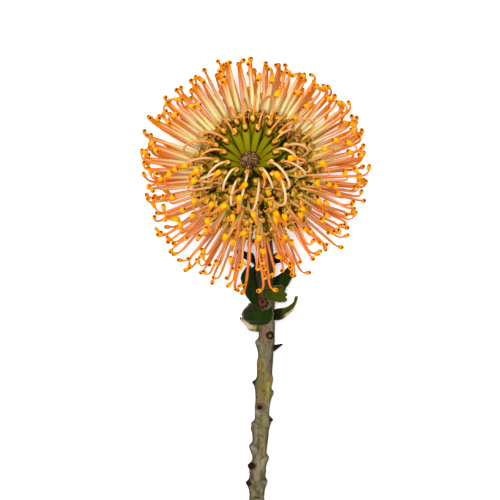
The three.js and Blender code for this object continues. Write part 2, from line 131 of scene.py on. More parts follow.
class FloretColours(bpy.types.PropertyGroup):
    style_foot: colour_property("Style foot", "Where it leaves the florets", rgb(226, 211, 142))
    style_green: colour_property("Near foot", "The same, towards the stem", rgb(196, 164, 66))
    style_middle: colour_property("Style middle", "Half way along", rgb(214, 148, 102))
    # The style flank colours below are partly orange and partly painted shade.
    style_rose: colour_property("Style edge, near", "Flanks towards the stem", rgb(216, 100, 40))
    style_edge: colour_property("Style edge", "The flanks of a style", rgb(220, 112, 0))
    style_pale: colour_property("Style, pale side", "Broad face", rgb(222, 190, 138))
    style_tip: colour_property("Style tip", "At the hook", rgb(222, 122, 0))
    presenter: colour_property("Presenter", "Ripe pollen", rgb(240, 176, 10))
    # Presenter edge is painted shade on the presenters, and the colour of their blotches.
    presenter_edge: colour_property("Presenter edge", "Shaded pollen", rgb(226, 134, 0))
    stigma: colour_property("Stigma", "The dark tip of a presenter", rgb(92, 24, 4))
    # Lobe colours below hold painted light: margins and gold partly highlight, deep partly shade.
    lobe_cream: colour_property("Lobe, cream", "Margins of the greener lobes", rgb(236, 198, 106))
    lobe_olive: colour_property("Lobe, olive", "Broad face of a rolled lobe", rgb(206, 136, 12))
    lobe_gold: colour_property("Lobe, gold", "Streaks on its broad face", rgb(255, 190, 52))
    lobe_edge: colour_property("Lobe, edge", "Peach edges of a rolled lobe", rgb(244, 166, 96))
    lobe_deep: colour_property("Lobe, deep", "Maroon in the folds", rgb(84, 22, 0))
    tube: colour_property("Tube", "Perianth tubes", rgb(132, 126, 6))
    tube_dark: colour_property("Tube, dark", "Lower and shaded parts of the tubes", rgb(62, 64, 0))
    limb_tip: colour_property("Limb tip", "Shut limbs facing the centre", rgb(52, 16, 22))
    centre: colour_property("Centre", "Smallest buds", rgb(92, 44, 30))
    centre_hair: colour_property("Centre hair", "Felt on the smallest buds", rgb(168, 132, 88))
    bract: colour_property("Bract", "Woolly bracts under the head", rgb(138, 126, 82))


class StemSettings(bpy.types.PropertyGroup):
    scar_step: length_property("Scar step", "Along the stem from scar to scar", 3.1 * mm)
    scar_rise: length_property("Scar rise", "Height of a scar of size and rise 1", 0.792 * mm)
    wood: colour_property("Bark", "Grey-brown bark", rgb(118, 109, 84))
    wood_brown: colour_property("Bark, brown", "Brown patches", rgb(116, 84, 62))
    # Bark, dark is weathered bark and also painted shade on the stem.
    wood_dark: colour_property("Bark, dark", "Weathered bark", rgb(62, 56, 42))
    wood_green: colour_property("Bark, green", "Young patches", rgb(112, 106, 40))
    wood_young: colour_property("Bark, young", "Green streak down one side", rgb(138, 130, 26))
    scar: colour_property("Scar", "Healed leaf scar", rgb(130, 92, 40))
    scar_rim: colour_property("Scar rim", "Pale corky rim", rgb(146, 138, 116))
    bud: colour_property("Bud", "Dark scales of the buds", rgb(40, 24, 16))
    bud_body: colour_property("Bud, body", "Inner scales of the largest bud", rgb(104, 58, 42))
    stub: colour_property("Stub", "Stub of a leaf stalk", (0.004, 0.009, 0.005))


class LeafSettings(bpy.types.PropertyGroup):
    thickness: length_property("Thickness", "Of a leaf blade", 0.5 * mm)
    green: colour_property("Green", "Upper face", rgb(12, 38, 0))
    green_dark: colour_property("Dark green", "Dark patches of the upper face", rgb(8, 20, 8))
    green_light: colour_property("Light green", "Veins and young blades", rgb(66, 74, 16))
    dry: colour_property("Dry", "Withered patches", rgb(46, 40, 34))
    margin: colour_property("Margin", "Dry edge", rgb(184, 168, 132))
    gland: colour_property("Gland", "Tips of the teeth", rgb(50, 28, 10))
    shade: colour_property("Shade", "Shaded parts of a blade", (0.003, 0.005, 0.003))


class StageSettings(bpy.types.PropertyGroup):
    floor: colour_property("Floor", "Plain pale floor", (0.95, 0.95, 0.95))
    key: number_property("Key light", "Watts", 11.8, min=0)
    fill: number_property("Fill light", "Watts", 0.8, min=0)
    sky: number_property("Sky", "Strength of the even light from all round", 0.72, min=0)
    glow: number_property("Floor glow", "Strength of the floor's own light", 0.3, min=0)
    height: length_property("Camera height", "Above the head's middle", 1200 * mm)
    view: length_property("View", "Width of the picture at the head's middle", 240 * mm)


# ---- Nodes of a material ----


class Finish:
    """A procedural material in the making: one call adds one node."""

    def __init__(self, name, roughness=0.5, **sockets):
        self.material = bpy.data.materials.new(name)
        self.material.use_nodes = True
        self.tree = self.material.node_tree
        self.shader = self.tree.nodes["Principled BSDF"]
        sockets = {"Roughness": roughness, "Specular_IOR_Level": 0.05, **sockets}
        for socket, value in sockets.items():
            self.shader.inputs[socket.replace("_", " ")].default_value = value

    def feed(self, socket, value):
        """Joins an output or a named attribute to a socket, or sets it to a number or colour."""
        if isinstance(value, str):
            value = self.attribute(value)
        if isinstance(value, bpy.types.NodeSocket):
            self.tree.links.new(value, socket)
        elif socket.type == "RGBA":
            socket.default_value = (*value, 1)
        else:
            socket.default_value = value

    def node(self, kind, inputs, **settings):
        node = self.tree.nodes.new("ShaderNode" + kind)
        for name, value in settings.items():
            setattr(node, name, value)
        for socket, value in inputs.items():
            self.feed(node.inputs[socket], value)
        return node

    def attribute(self, name):
        return self.node("Attribute", {}, attribute_name=name).outputs["Fac"]

    def place(self, stretch=(1, 1, 1)):
        """Object coordinates, stretched."""
        where = self.node("TexCoord", {}).outputs["Object"]
        return self.node("Mapping", {"Vector": where, "Scale": stretch}).outputs["Vector"]

    def across(self, u, v):
        """A texture place made of two values, so that a pattern follows the piece."""
        return self.node("CombineXYZ", {0: u, 1: v}).outputs[0]

    def noise(self, scale, detail=3, where=None):
        where = where or self.place()
        inputs = {"Vector": where, "Scale": scale, "Detail": detail, "Roughness": 0.55}
        return self.node("TexNoise", inputs).outputs["Fac"]

    def maths(self, operation, *values, clamp=False):
        inputs = dict(enumerate(values))
        return self.node("Math", inputs, operation=operation, use_clamp=clamp).outputs[0]

    def times(self, first, second):
        return self.maths("MULTIPLY", first, second)

    def plus(self, first, second, amount=1.0):
        """The first and that amount of the second."""
        return self.maths("MULTIPLY_ADD", second, amount, first)

    def band(self, value, low, high, most=1.0):
        """0 below low and the most above high, with a soft change between them."""
        inputs = {"Value": value, "From Min": low, "From Max": high, "To Max": most}
        return self.node("MapRange", inputs, interpolation_type="SMOOTHSTEP").outputs["Result"]

    def ramp(self, value, *stops):
        """Colours at places from 0 to 1, as (place, colour) pairs."""
        node = self.node("ValToRGB", {"Fac": value})
        while len(node.color_ramp.elements) < len(stops):
            node.color_ramp.elements.new(0.5)
        for element, (place, colour) in zip(node.color_ramp.elements, stops):
            element.position = place
            element.color = (*colour, 1)
        return node.outputs["Color"]

    def mix(self, factor, first, second):
        inputs = {0: factor, 6: first, 7: second}
        return self.node("Mix", inputs, data_type="RGBA").outputs[2]

    def vary(self, colour, chance, amount):
        """Lightens and darkens a colour by a value from 0 to 1."""
        lighter = self.maths("MULTIPLY_ADD", chance, amount, 1 - amount / 2)
        return self.node("HueSaturation", {"Color": colour, "Value": lighter}).outputs["Color"]

    def bump(self, height, distance, strength=0.5):
        node = self.node("Bump", {"Height": height, "Distance": distance, "Strength": strength})
        self.feed(self.shader.inputs["Normal"], node.outputs["Normal"])

    def colour(self, value, differ=0.0):
        """Ends the material; strands differ from one another in lightness by that much."""
        if differ:
            value = self.vary(value, "chance", differ)
        self.feed(self.shader.inputs["Base Color"], value)
        return self.material


# ---- Shapes ----


def unit(vectors):
    return vectors / np.linalg.norm(vectors, axis=-1, keepdims=True)


def ease(x):
    """0 below 0 and 1 above 1, with a soft change between them."""
    x = np.clip(x, 0, 1)
    return x * x * (3 - 2 * x)


def bell(distance, width, power=2):
    """1 at no distance, falling to nothing past the width; a high power makes its edge sharp."""
    return np.exp(-((distance / width) ** power))


def distances(line):
    """How far along a line each of its points is."""
    steps = np.linalg.norm(np.diff(line[:, :3], axis=0), axis=1)
    return np.concatenate([[0], np.cumsum(steps)])


def outward(latitude, azimuth):
    flat = math.cos(latitude)
    return np.array([flat * math.cos(azimuth), flat * math.sin(azimuth), math.sin(latitude)])


def upward(latitude, azimuth):
    """Along the head's surface, towards its top."""
    return outward(latitude + math.pi / 2, azimuth)


def sideways(azimuth):
    return np.array([-math.sin(azimuth), math.cos(azimuth), 0.0])


def meridian(azimuth, profile):
    """Points given by distance from the head's axis and height, in millimetres, at an azimuth."""
    profile = np.asarray(profile) * mm
    return profile[:, :1] * outward(0, azimuth) + profile[:, 1:2] * np.array([0.0, 0.0, 1.0])


def turned(vectors):
    """Directions of the head's frame, in the part's frame."""
    return np.asarray(vectors) @ np.array(HEAD_ROTATION).T


def in_head(points):
    """Points of the head's frame, in the part's frame."""
    points = np.asarray(points, float)
    # The centre buds and what stands close round them sit a little off the head's axis.
    close = bell(np.linalg.norm(points[..., :2], axis=-1), CENTRE_REACH)
    close *= ease((points[..., 2] - 8 * mm) / (6 * mm))
    return turned(points) + np.array(HEAD_MIDDLE) + close[..., None] * np.array(CENTRE_SHIFT)


def smooth_line(points, rings):
    """An even curve through points, by Catmull-Rom."""
    p = np.asarray(points, float)
    p = np.vstack([2 * p[0] - p[1], p, 2 * p[-1] - p[-2]])
    places = np.linspace(0, len(p) - 3, rings)
    i = np.minimum(places.astype(int), len(p) - 4)
    t = (places - i)[:, None]
    a, b, c, d = p[i], p[i + 1], p[i + 2], p[i + 3]
    return 0.5 * (
        2 * b + (c - a) * t + (2 * a - 5 * b + 4 * c - d) * t**2 + (3 * b - a - 3 * c + d) * t**3
    )


def traced(heading, fine, stations):
    """How far ahead and how far up a line is at each station, from its heading along the way."""
    return [
        np.interp(stations, fine, np.cumsum(part(heading)) * fine[1]) for part in (np.cos, np.sin)
    ]


def off_surface(line, radius, soft=1.5 * mm):
    """Bends a line so that a tube of that radius round it lies on the surface, not in it."""
    line = line.copy()
    above = np.maximum(line[:, 2] - radius, -soft)
    near = above < soft
    line[near, 2] = (radius + (above + soft) ** 2 / (4 * soft))[near]
    return line


def finished(name, shape):
    """The mesh that a bmesh has come to."""
    mesh = bpy.data.meshes.new(name)
    shape.to_mesh(mesh)
    shape.free()
    return mesh


def mark_points(mesh, marks):
    """Stores values at the mesh's points, for the material to read."""
    for mark, values in marks.items():
        layer = mesh.attributes.new(mark, "FLOAT", "POINT")
        layer.data.foreach_set("value", np.asarray(values, np.float32))


def link_piece(name, mesh):
    mesh.shade_smooth()
    mesh.update()
    piece = bpy.data.objects.new(name, mesh)
    bpy.context.scene.collection.objects.link(piece)
    return piece


def dress(piece, material, slot, *nodes):
    """Gives a piece its material and body, hiding the solids it stands for; slot is not used."""
    piece.data.materials.append(material)
    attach(piece, "root")
    if nodes:
        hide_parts(*nodes)


# ---- Strands: every style, lobe, tube, bud and bract is a bent tube ----


class Strand:
    """One bent tube: its line, its half widths, and the values that its material reads."""

    def __init__(self, line, broad, half_width, half_thick=None, **marks):
        rings = len(line)
        ahead = unit(np.gradient(line, axis=0))
        broad = np.broadcast_to(broad, line.shape)
        broad = unit(broad - ahead * np.sum(broad * ahead, axis=1, keepdims=True))
        self.line = line
        self.broad = broad * np.broadcast_to(half_width, rings)[:, None]
        thick = half_width if half_thick is None else half_thick
        self.thick = np.cross(ahead, broad) * np.broadcast_to(thick, rings)[:, None]
        self.marks = marks


def straight_tube(sides, rings):
    """A closed tube of radius 1, with a ring of vertices at each whole height."""
    tube = bmesh.new()
    bmesh.ops.create_circle(tube, cap_ends=True, radius=1, segments=sides)
    end = foot = tube.faces[:]
    for _ in range(rings - 1):
        grown = bmesh.ops.extrude_face_region(tube, geom=end)["geom"]
        if end is not foot:
            # The extrusion leaves its starting face behind, inside the tube.
            bmesh.ops.delete(tube, geom=end, context="FACES_ONLY")
        corners = [g for g in grown if isinstance(g, bmesh.types.BMVert)]
        end = [g for g in grown if isinstance(g, bmesh.types.BMFace)]
        bmesh.ops.translate(tube, verts=corners, vec=(0, 0, 1))
    bmesh.ops.recalc_face_normals(tube, faces=tube.faces)
    return finished("tube", tube)


def gather(name, strands, sides):
    """One object with a bent copy of the same tube for each strand."""
    rings = len(strands[0].line)
    pattern = straight_tube(sides, rings)
    shape = np.array([v.co for v in pattern.vertices])
    ring = shape[:, 2].round().astype(int)
    bunch = bmesh.new()
    for _ in strands:
        bunch.from_mesh(pattern)
    mesh = finished(name, bunch)
    bpy.data.meshes.remove(pattern)
    places = [
        s.line[ring] + s.broad[ring] * shape[:, :1] + s.thick[ring] * shape[:, 1:2] for s in strands
    ]
    mesh.vertices.foreach_set("co", np.concatenate(places).ravel())
    tube_marks = {
        "along": ring / (rings - 1), "ring": ring, "face": shape[:, 1], "edge": np.abs(shape[:, 0])
    }
    marks = {mark: np.tile(values, len(strands)) for mark, values in tube_marks.items()}
    for mark in strands[0].marks:
        values = [np.broadcast_to(s.marks[mark], rings)[ring] for s in strands]
        marks[mark] = np.concatenate(values)
    mark_points(mesh, marks)
    return link_piece(name, mesh)


# ---- Where the florets stand ----

# The head is not quite round: the bearing and width in degrees, and the height, of each bump.
BUMPS = (
    (28, 15, 1.4), (88, 6, -0.8), (107, 8, 1.6), (150, 12, 3.2),
    (187, 18, -1.8), (254, 10, 1.6), (305, 20, -5.0), (347, 10, -2.8),
)
SHEAVES = 23  # that the florets lean together into
STYLE_ROOT = 14 * mm  # from the head's middle to where a style's line begins
FINE_STEPS = 160  # in which a style's line is worked out
LOBE_RINGS, LOBE_STEPS = 11, 120  # of a perianth lobe, and in which its line is worked out


class Floret:
    """An open floret's place on the head."""

    def __init__(self, number, settings, chance):
        share = (number + 0.5) / settings.florets
        top, bottom = math.sin(settings.highest), math.sin(settings.lowest)
        latitude = math.asin(top + (bottom - top) * share)
        latitude += math.radians(chance.uniform(-1.5, 1.5))
        turn = math.radians(number * GOLDEN + chance.uniform(-2.0, 2.0))
        # Neighbours lean together into loose sheaves, with gaps between them.
        azimuth = turn + settings.sheaf * math.sin(SHEAVES * turn + 2 * math.sin(turn))
        self.rank = 1 - share  # 0 in the lowest, 1 in the innermost
        self.high = (latitude - settings.lowest) / (settings.highest - settings.lowest)
        self.out = outward(latitude, azimuth)
        self.up = upward(latitude, azimuth)
        self.side = sideways(azimuth)
        self.far = max(0.0, self.out[1])  # 1 on the head's side away from the stem
        self.near = max(0.0, -self.out[1])  # 1 on its side towards the stem
        heading = turned(self.out)
        bearing = math.degrees(math.atan2(heading[1], heading[0])) % 360
        self.bump = sum(height * bell(bearing - at, wide) for at, wide, height in BUMPS)
        self.chance = chance.random()


def open_florets(settings):
    chance = random.Random(settings.seed)
    return [Floret(i, settings, chance) for i in range(settings.florets)]


def style_line(floret, settings, chance):
    """The middle line of a free style, in the head's frame: a shaft, a hook and a straight end."""
    far = floret.far
    high = max(0.0, floret.high)
    lean = chance.gauss(0, 0.34 - 0.2 * far)
    up = math.cos(lean) * floret.up + math.sin(lean) * floret.side
    loss = settings.shaft_loss * high**3.2 * (1 - 0.8 * far)
    shaft = settings.shaft - loss + min(chance.gauss(-1.0, 2.2), 1.2) * (1 - 0.4 * far) * mm
    shaft += settings.far_side * far + settings.uneven * floret.bump
    # Tips on the stem's side turn up less, and so point away from the surface.
    turn = 80 + 55 * high * (1 - 0.5 * far) - 20 * floret.near * (1 - high)
    turn = math.radians(turn + chance.gauss(0, 12))
    hook = (3.7 - 0.6 * high - 1.0 * far + chance.uniform(-0.7, 0.8)) * mm * turn
    end = settings.presenter + chance.uniform(-0.2, 1.2) * mm
    straight = shaft - 2 * mm
    stations = (
        np.linspace(0, straight, 4, endpoint=False),
        np.linspace(straight, shaft + hook, 8, endpoint=False),
        [shaft + hook, shaft + hook + end],
    )
    stations = np.concatenate(stations)
    fine = np.linspace(0, stations[-1], FINE_STEPS)
    heading = turn * ease((fine - shaft + 0.15 * hook) / (1.3 * hook))
    # Styles of the inner florets lean outwards, most of all on the side away from the stem.
    heading -= 0.42 * high * np.clip((floret.out[1] + 0.5) / 1.5, 0, 1)
    heading -= 0.3 * high * floret.near
    heading += chance.gauss(0, 0.05) * np.sin(np.pi * np.clip(fine / shaft, 0, 1))
    ahead, above = traced(heading, fine, stations)
    bow = chance.gauss(0, 0.8) * mm * np.sin(np.pi * np.clip(stations / shaft, 0, 1)) ** 2
    line = floret.out * (STYLE_ROOT + ahead)[:, None] + up * above[:, None]
    line += floret.side * bow[:, None]
    return line, -math.sin(lean) * floret.up + math.cos(lean) * floret.side


# ---- Pieces of the head ----


class PROTEA_OT_styles(bpy.types.Operator):
    """The free styles with their pollen presenters"""

    bl_idname = "protea.styles"
    bl_label = "Free styles"

    def execute(self, context):
        head, colours = context.scene.protea_head, context.scene.protea_colours
        chance = random.Random(head.seed + 1)
        shafts, presenters = [], []
        for floret in open_florets(head):
            line, broad = style_line(floret, head, chance)
            # Some of the innermost florets near the stem have lost their styles.
            aged = floret.rank > 0.72 and floret.far < 0.3
            if aged and floret.chance < 0.3 + 0.3 * abs(floret.out[0]):
                continue
            line, broad = in_head(line), turned(broad)
            taper = np.interp(np.linspace(0, 1, len(line)), [0, 0.35, 0.7], [1, 9 / 14, 0])
            thick = head.style_neck + (head.style_foot - head.style_neck) * taper
            # Styles on the side away from the stem are the broadest and palest.
            thick *= 0.75 + 0.29 * ease(0.5 + 0.8 * floret.out[1])
            pale = 0.2 + 0.8 * ease(0.5 + 0.9 * floret.out[1]) + chance.uniform(-0.2, 0.2)
            line = off_surface(line, thick[-1] + 0.2 * mm)
            reach = distances(line)
            along = reach[:-1] / reach[-1]
            tint = chance.random()
            marks = {"along": along, "pale": pale, "chance": tint, "young": floret.rank}
            shafts.append(Strand(line[:-1], broad, thick[:-1] * 1.12, thick[:-1] * 0.8, **marks))
            presenters.append(presenter(line[-2:], broad, head, tint, floret.rank, chance))
        nodes = [f"styles_row_{i}" for i in range(1, 7)]
        dress(gather("styles", shafts, sides=6), style_finish(colours), "style", *nodes)
        tips = gather("pollen_presenters", presenters, sides=8)
        dress(tips, presenter_finish(colours), "presenter")
        return {"FINISHED"}


def presenter(ends, broad, head, tint, rank, chance):
    """The swollen end of a style: a narrow neck, a blunt bulb and a small dark stigma."""
    length = head.presenter * (1 + 0.2 * rank) * chance.uniform(0.9, 1.1)
    ahead = unit(ends[1] - ends[0])
    places = np.array([-0.1, 0.04, 0.2, 0.42, 0.66, 0.86, 0.96, 1.0, 0.985])
    widths = np.array([0.44, 0.52, 0.72, 0.93, 1.0, 0.94, 0.74, 0.46, 0.25])
    # Each line starts where its shaft stops and curls on a little.
    curl = unit(np.cross(broad, ahead)) * chance.uniform(-0.3, 0.5) * mm
    line = ends[0] + ahead * (places * length)[:, None] + curl * (places**2)[:, None]
    line = off_surface(line, 1.3 * mm)
    width = widths * head.presenter_width * chance.uniform(0.9, 1.08) * (1 + 0.16 * rank)
    return Strand(line, broad, width, width * 0.86, along=places, chance=tint)


def style_finish(colours):
    """Waxy style: broad pale face, flanks orange and painted shade, greenish foot, orange hook."""
    f = Finish("style", 0.42, Subsurface_Weight=0.08, Subsurface_Scale=0.001)
    dark, foot, green = colours.tube_dark, colours.style_foot, colours.style_green
    middle, tip = colours.style_middle, colours.style_tip
    # Young styles, nearer the centre, stay greenish further out.
    grown = f.plus("along", "young", -0.22)
    # Each ramp starts dark at the foot: painted shade where the style goes into the head.
    near_face = f.ramp(grown, (0.12, dark), (0.3, green), (0.5, middle), (0.58, middle), (0.8, tip))
    far_face = f.ramp(
        grown, (0.1, dark), (0.24, foot), (0.36, foot), (0.5, colours.style_pale), (0.72, tip)
    )
    near_flank = f.ramp(grown, (0.12, dark), (0.26, green), (0.44, colours.style_rose), (0.9, tip))
    far_flank = f.ramp(
        grown, (0.12, dark), (0.24, foot), (0.32, foot), (0.5, colours.style_edge), (0.88, tip)
    )
    face, flank = f.mix("pale", near_face, far_face), f.mix("pale", near_flank, far_flank)
    # The flanks are partly the style's own orange and partly painted shade at its sides.
    rim = f.plus("edge", f.noise(900, 2), 0.2)
    colour = f.mix(f.band(rim, 0.36, 0.9), face, flank)
    # The hook is orange on every style, whatever its age.
    colour = f.mix(f.band("along", 0.74, 0.88), colour, tip)
    f.bump(f.noise(1400, 2), 0.1 * mm, 0.25)
    return f.colour(colour, 0.3)


def presenter_finish(colours):
    """Powdery pollen over a waxy bulb, with painted shade and a dark stigma at the very end."""
    f = Finish("presenter", 0.55, Subsurface_Weight=0.08, Subsurface_Scale=0.001)
    ripe, shaded = colours.presenter, colours.presenter_edge
    # The shaded orange towards the end is painted shade.
    stops = (0.1, colours.style_tip), (0.5, ripe), (0.8, ripe), (0.94, shaded)
    colour = f.ramp("along", *stops)
    colour = f.mix(f.band(f.noise(800, 3), 0.46, 0.66, 0.8), colour, shaded)
    # Painted shade along the flanks.
    colour = f.mix(f.band("edge", 0.5, 1.0, 0.65), colour, shaded)
    colour = f.mix(f.band("ring", 6.7, 7.25), colour, colours.stigma)
    f.bump(f.noise(2600, 2), 0.1 * mm, 0.4)
    return f.colour(colour, 0.2)


def lobe_line(floret, settings, around, chance):
    """A perianth lobe: out along the floret and rolled back, in the head's frame."""
    roll = math.cos(around) * floret.up + math.sin(around) * floret.side
    # Towards the stem the lowest lobes stand out furthest and the ones above them least.
    near = floret.near * (0.35 - floret.high)
    # The youngest lobes, just outside the loops, crowd up round the centre.
    start = settings.mass - (chance.uniform(8.5, 11.0) - 5.0 * near - 1.4 * floret.rank) * mm
    straight = chance.uniform(4.8 + min(0.0, 3.0 * near), 8.4) * mm
    loose = chance.uniform(0.85, 1.45) * mm
    tight = loose * chance.uniform(0.55, 0.75)
    curl = math.radians(chance.uniform(190, 330)) * (loose + tight) / 2
    stations = np.concatenate([[0], np.linspace(straight, straight + curl, LOBE_RINGS - 1)])
    fine = np.linspace(0, stations[-1], LOBE_STEPS)
    radius = loose + (tight - loose) * np.clip((fine - straight) / curl, 0, 1)
    heading = np.cumsum(np.where(fine > straight, 1 / radius, 0)) * fine[1] - 0.12
    ahead, apart = traced(heading, fine, stations)
    twist = chance.uniform(-1.2, 1.2) * mm * np.linspace(0, 1, LOBE_RINGS) ** 2
    broad = np.cross(floret.out, roll)
    line = floret.out * (start + ahead)[:, None] + roll * (apart + 0.8 * mm)[:, None]
    return line + broad * twist[:, None], broad


class PROTEA_OT_perianths(bpy.types.Operator):
    """The open perianths: tubes, and lobes that roll back from them"""

    bl_idname = "protea.perianths"
    bl_label = "Open perianths"

    def execute(self, context):
        head, colours = context.scene.protea_head, context.scene.protea_colours
        chance = random.Random(head.seed + 2)
        along = np.linspace(0, 1, LOBE_RINGS)
        places, widths = [0, 0.15, 0.5, 0.8, 0.9, 1], [0.7, 1.0, 0.95, 0.75, 0.75, 0.3]
        lobe_width = np.interp(along, places, widths)
        lobe_thick = np.interp(along, [0, 0.5, 0.8, 0.9, 1], [0.55, 0.6, 0.55, 0.5, 0.2])
        tube_width = np.array([0.8, 1.1, 1.4, 1.5, 1.4, 1.2]) * mm
        lobes, tubes = [], []
        for floret in open_florets(head):
            # The lobes roll mostly away from the centre, and so lie along its rays.
            for k in range(4):
                around = math.pi + (k - 1.5) * 0.8 + chance.gauss(0, 0.35)
                line, broad = lobe_line(floret, head, around, chance)
                line, broad = in_head(line), turned(broad)
                size = chance.uniform(0.95, 1.5) * (1 + 0.15 * floret.rank) * mm
                young = np.clip(floret.rank * 1.2 + chance.uniform(-0.4, 0.4), 0, 1)
                marks = {"chance": chance.random(), "young": young}
                lobes.append(Strand(line, broad, lobe_width * size, lobe_thick * size, **marks))
            foot = chance.uniform(11, 12.5) * mm
            line = in_head(floret.out * np.linspace(foot, head.mass - 5.5 * mm, 6)[:, None])
            tubes.append(Strand(line, turned(floret.side), tube_width, chance=chance.random()))
        nodes = [f"perianths_row_{i}" for i in range(1, 8)]
        dress(gather("perianth_lobes", lobes, sides=6), lobe_finish(colours), "perianth", *nodes)
        dress(gather("perianth_tubes", tubes, sides=7), tube_finish(colours), "perianth")
        return {"FINISHED"}


def lobe_finish(colours):
    """Rolled lobes: olive faces, peach or cream margins, maroon folds; painted light and shade."""
    f = Finish("perianth lobe", 0.55)
    peach, deep = colours.lobe_edge, colours.lobe_deep
    # The margins are peach or cream: partly their own colour, partly painted highlight.
    margin = f.mix(f.band("young", 0.1, 0.9), peach, colours.lobe_cream)
    margin = f.mix(f.band("chance", 0.55, 0.6), margin, peach)
    margin = f.mix(f.band("chance", 0.86, 0.9), margin, colours.tube)
    # The broad face between is streaked lengthwise; its gold streaks are partly painted highlight.
    lengthwise = f.across(f.plus(f.times("edge", 3.0), "chance", 90.0), f.times("along", 2.5))
    streak = f.noise(2.2, 3, lengthwise)
    broad = f.mix(f.band(streak, 0.3, 0.42), deep, colours.lobe_olive)
    broad = f.mix(f.band(streak, 0.54, 0.66), broad, colours.lobe_gold)
    colour = f.mix(f.band("edge", 0.45, 0.8), broad, margin)
    # The inner face of each roll is maroon: partly its colour, partly painted shade.
    colour = f.mix(f.band("face", 0.1, -0.5), colour, deep)
    # The foot stands deep in the mass, and the very tip is dry.
    colour = f.mix(f.band("along", 0.24, 0.1), colour, colours.tube)
    colour = f.mix(f.times(f.band("along", 0.8, 0.95), f.band("chance", 0.2, 0.5)), colour, deep)
    colour = f.mix(f.band("young", 0.9, 1.0, 0.5), colour, deep)
    f.bump(f.noise(2200, 3), 0.15 * mm, 0.5)
    return f.colour(colour, 0.35)


def tube_finish(colours):
    """Perianth tubes: green, darker towards the foot, with pale blotches."""
    f = Finish("perianth tube", 0.5, Subsurface_Weight=0.05, Subsurface_Scale=0.001)
    # Darker towards the foot: painted shade deep in the mass.
    colour = f.ramp("along", (0.25, colours.tube_dark), (0.85, colours.tube))
    colour = f.mix(f.band(f.noise(700, 2), 0.55, 0.75, 0.4), colour, colours.lobe_cream)
    f.bump(f.noise(1800, 2), 0.1 * mm, 0.4)
    return f.colour(colour, 0.3)


# The two rings of shut florets: the share of a step that each is turned by, how far out and up it
# is moved in millimetres, and its size.
SHUT_RINGS = ((0.0, (0.0, 0.0), 1.0), (0.5, (4.4, -1.2), 0.92))


def shut_places(head):
    """Azimuth, shift, size and random draw of each shut floret."""
    chance = random.Random(head.seed + 3)
    for phase, shift, size in SHUT_RINGS:
        for k in range(head.shut):
            azimuth = (k + phase + 0.23) * math.tau / head.shut
            yield azimuth + math.radians(chance.uniform(-3, 3)), shift, size, chance


class PROTEA_OT_shut_florets(bpy.types.Operator):
    """The shut florets round the centre: green tubes and the limbs that hold the style tips"""

    bl_idname = "protea.shut_florets"
    bl_label = "Shut florets"

    def execute(self, context):
        head, colours = context.scene.protea_head, context.scene.protea_colours
        tubes, limbs = [], []
        along = np.linspace(0, 1, 16)
        tube_width = np.interp(along, [0, 0.2, 0.45, 0.65, 0.85, 1], [1, 1.7, 2.35, 2.35, 1.5, 0.8])
        tube_thick = np.interp(along, [0, 0.45, 0.7, 0.9, 1], [0.6, 1.2, 1.0, 0.8, 0.6])
        limb_width = np.array([0.95, 1.3, 1.6, 1.75, 1.8, 1.75, 1.6, 1.3, 0.9, 0.3])
        for azimuth, shift, size, chance in shut_places(head):
            side = turned(sideways(azimuth + chance.uniform(-0.15, 0.15)))
            knee = chance.uniform(-0.5, 0.5)
            size *= mm * chance.uniform(0.92, 1.06)
            # The tube grows outwards, bends up at its knee and comes back over itself.
            low = [(3.0, 13.2), (5.4, 18.0), (8.2, 21.8), (10.9, 24.2)]
            bend = [(13.0 + knee, 25.6), (13.9 + knee, 26.8), (13.4 + knee, 27.9)]
            line = in_head(smooth_line(meridian(azimuth, np.add(low + bend, shift)), 16))
            width, thick = tube_width * size, tube_thick * size
            tubes.append(Strand(line, side, width, thick, chance=chance.random()))
            profile = [(13.6 + knee, 27.7), (12.8, 27.8), (11.8, 26.9), (10.7, 25.6)]
            line = in_head(smooth_line(meridian(azimuth, np.add(profile, shift)), 10))
            width = limb_width * size
            limbs.append(Strand(line, side, width, width * 0.8, chance=chance.random()))
        shut_tubes = gather("shut_tubes", tubes, sides=10)
        dress(shut_tubes, shut_tube_finish(colours), "shut_perianth", "shut_perianths")
        dress(gather("shut_limbs", limbs, sides=8), limb_finish(colours), "shut_perianth")
        return {"FINISHED"}


def shut_tube_finish(colours):
    """Smooth olive tubes, paler along the ridge, with painted shade down their flanks."""
    f = Finish("shut tube", 0.45, Subsurface_Weight=0.06, Subsurface_Scale=0.001)
    # Painted shade down the flanks of each tube.
    colour = f.mix(f.band("edge", 1.0, 0.5), colours.tube_dark, colours.tube)
    lengthwise = f.across(f.times("edge", 4), "along")
    colour = f.vary(colour, f.noise(5, 3, lengthwise), 0.7)
    f.bump(f.noise(1500, 2), 0.1 * mm, 0.3)
    return f.colour(colour, 0.2)


def limb_finish(colours):
    """Shut limbs: cream and olive, with painted shade, and a purple-black tip towards the centre."""
    f = Finish("shut limb", 0.6)
    along = f.plus("along", f.noise(900, 3), 0.2)
    cream, olive = colours.lobe_cream, colours.lobe_olive
    stops = (0.1, colours.tube), (0.4, cream), (0.65, olive), (0.8, colours.limb_tip)
    colour = f.ramp(along, *stops)
    colour = f.mix(f.band(f.noise(500, 2), 0.48, 0.6, 0.7), colour, olive)
    # Painted shade: the flanks are darkened to maroon.
    colour = f.mix(f.band("edge", 0.3, 0.9), colour, colours.lobe_deep)
    f.bump(f.noise(2400, 3), 0.2 * mm, 0.6)
    return f.colour(colour, 0.3)


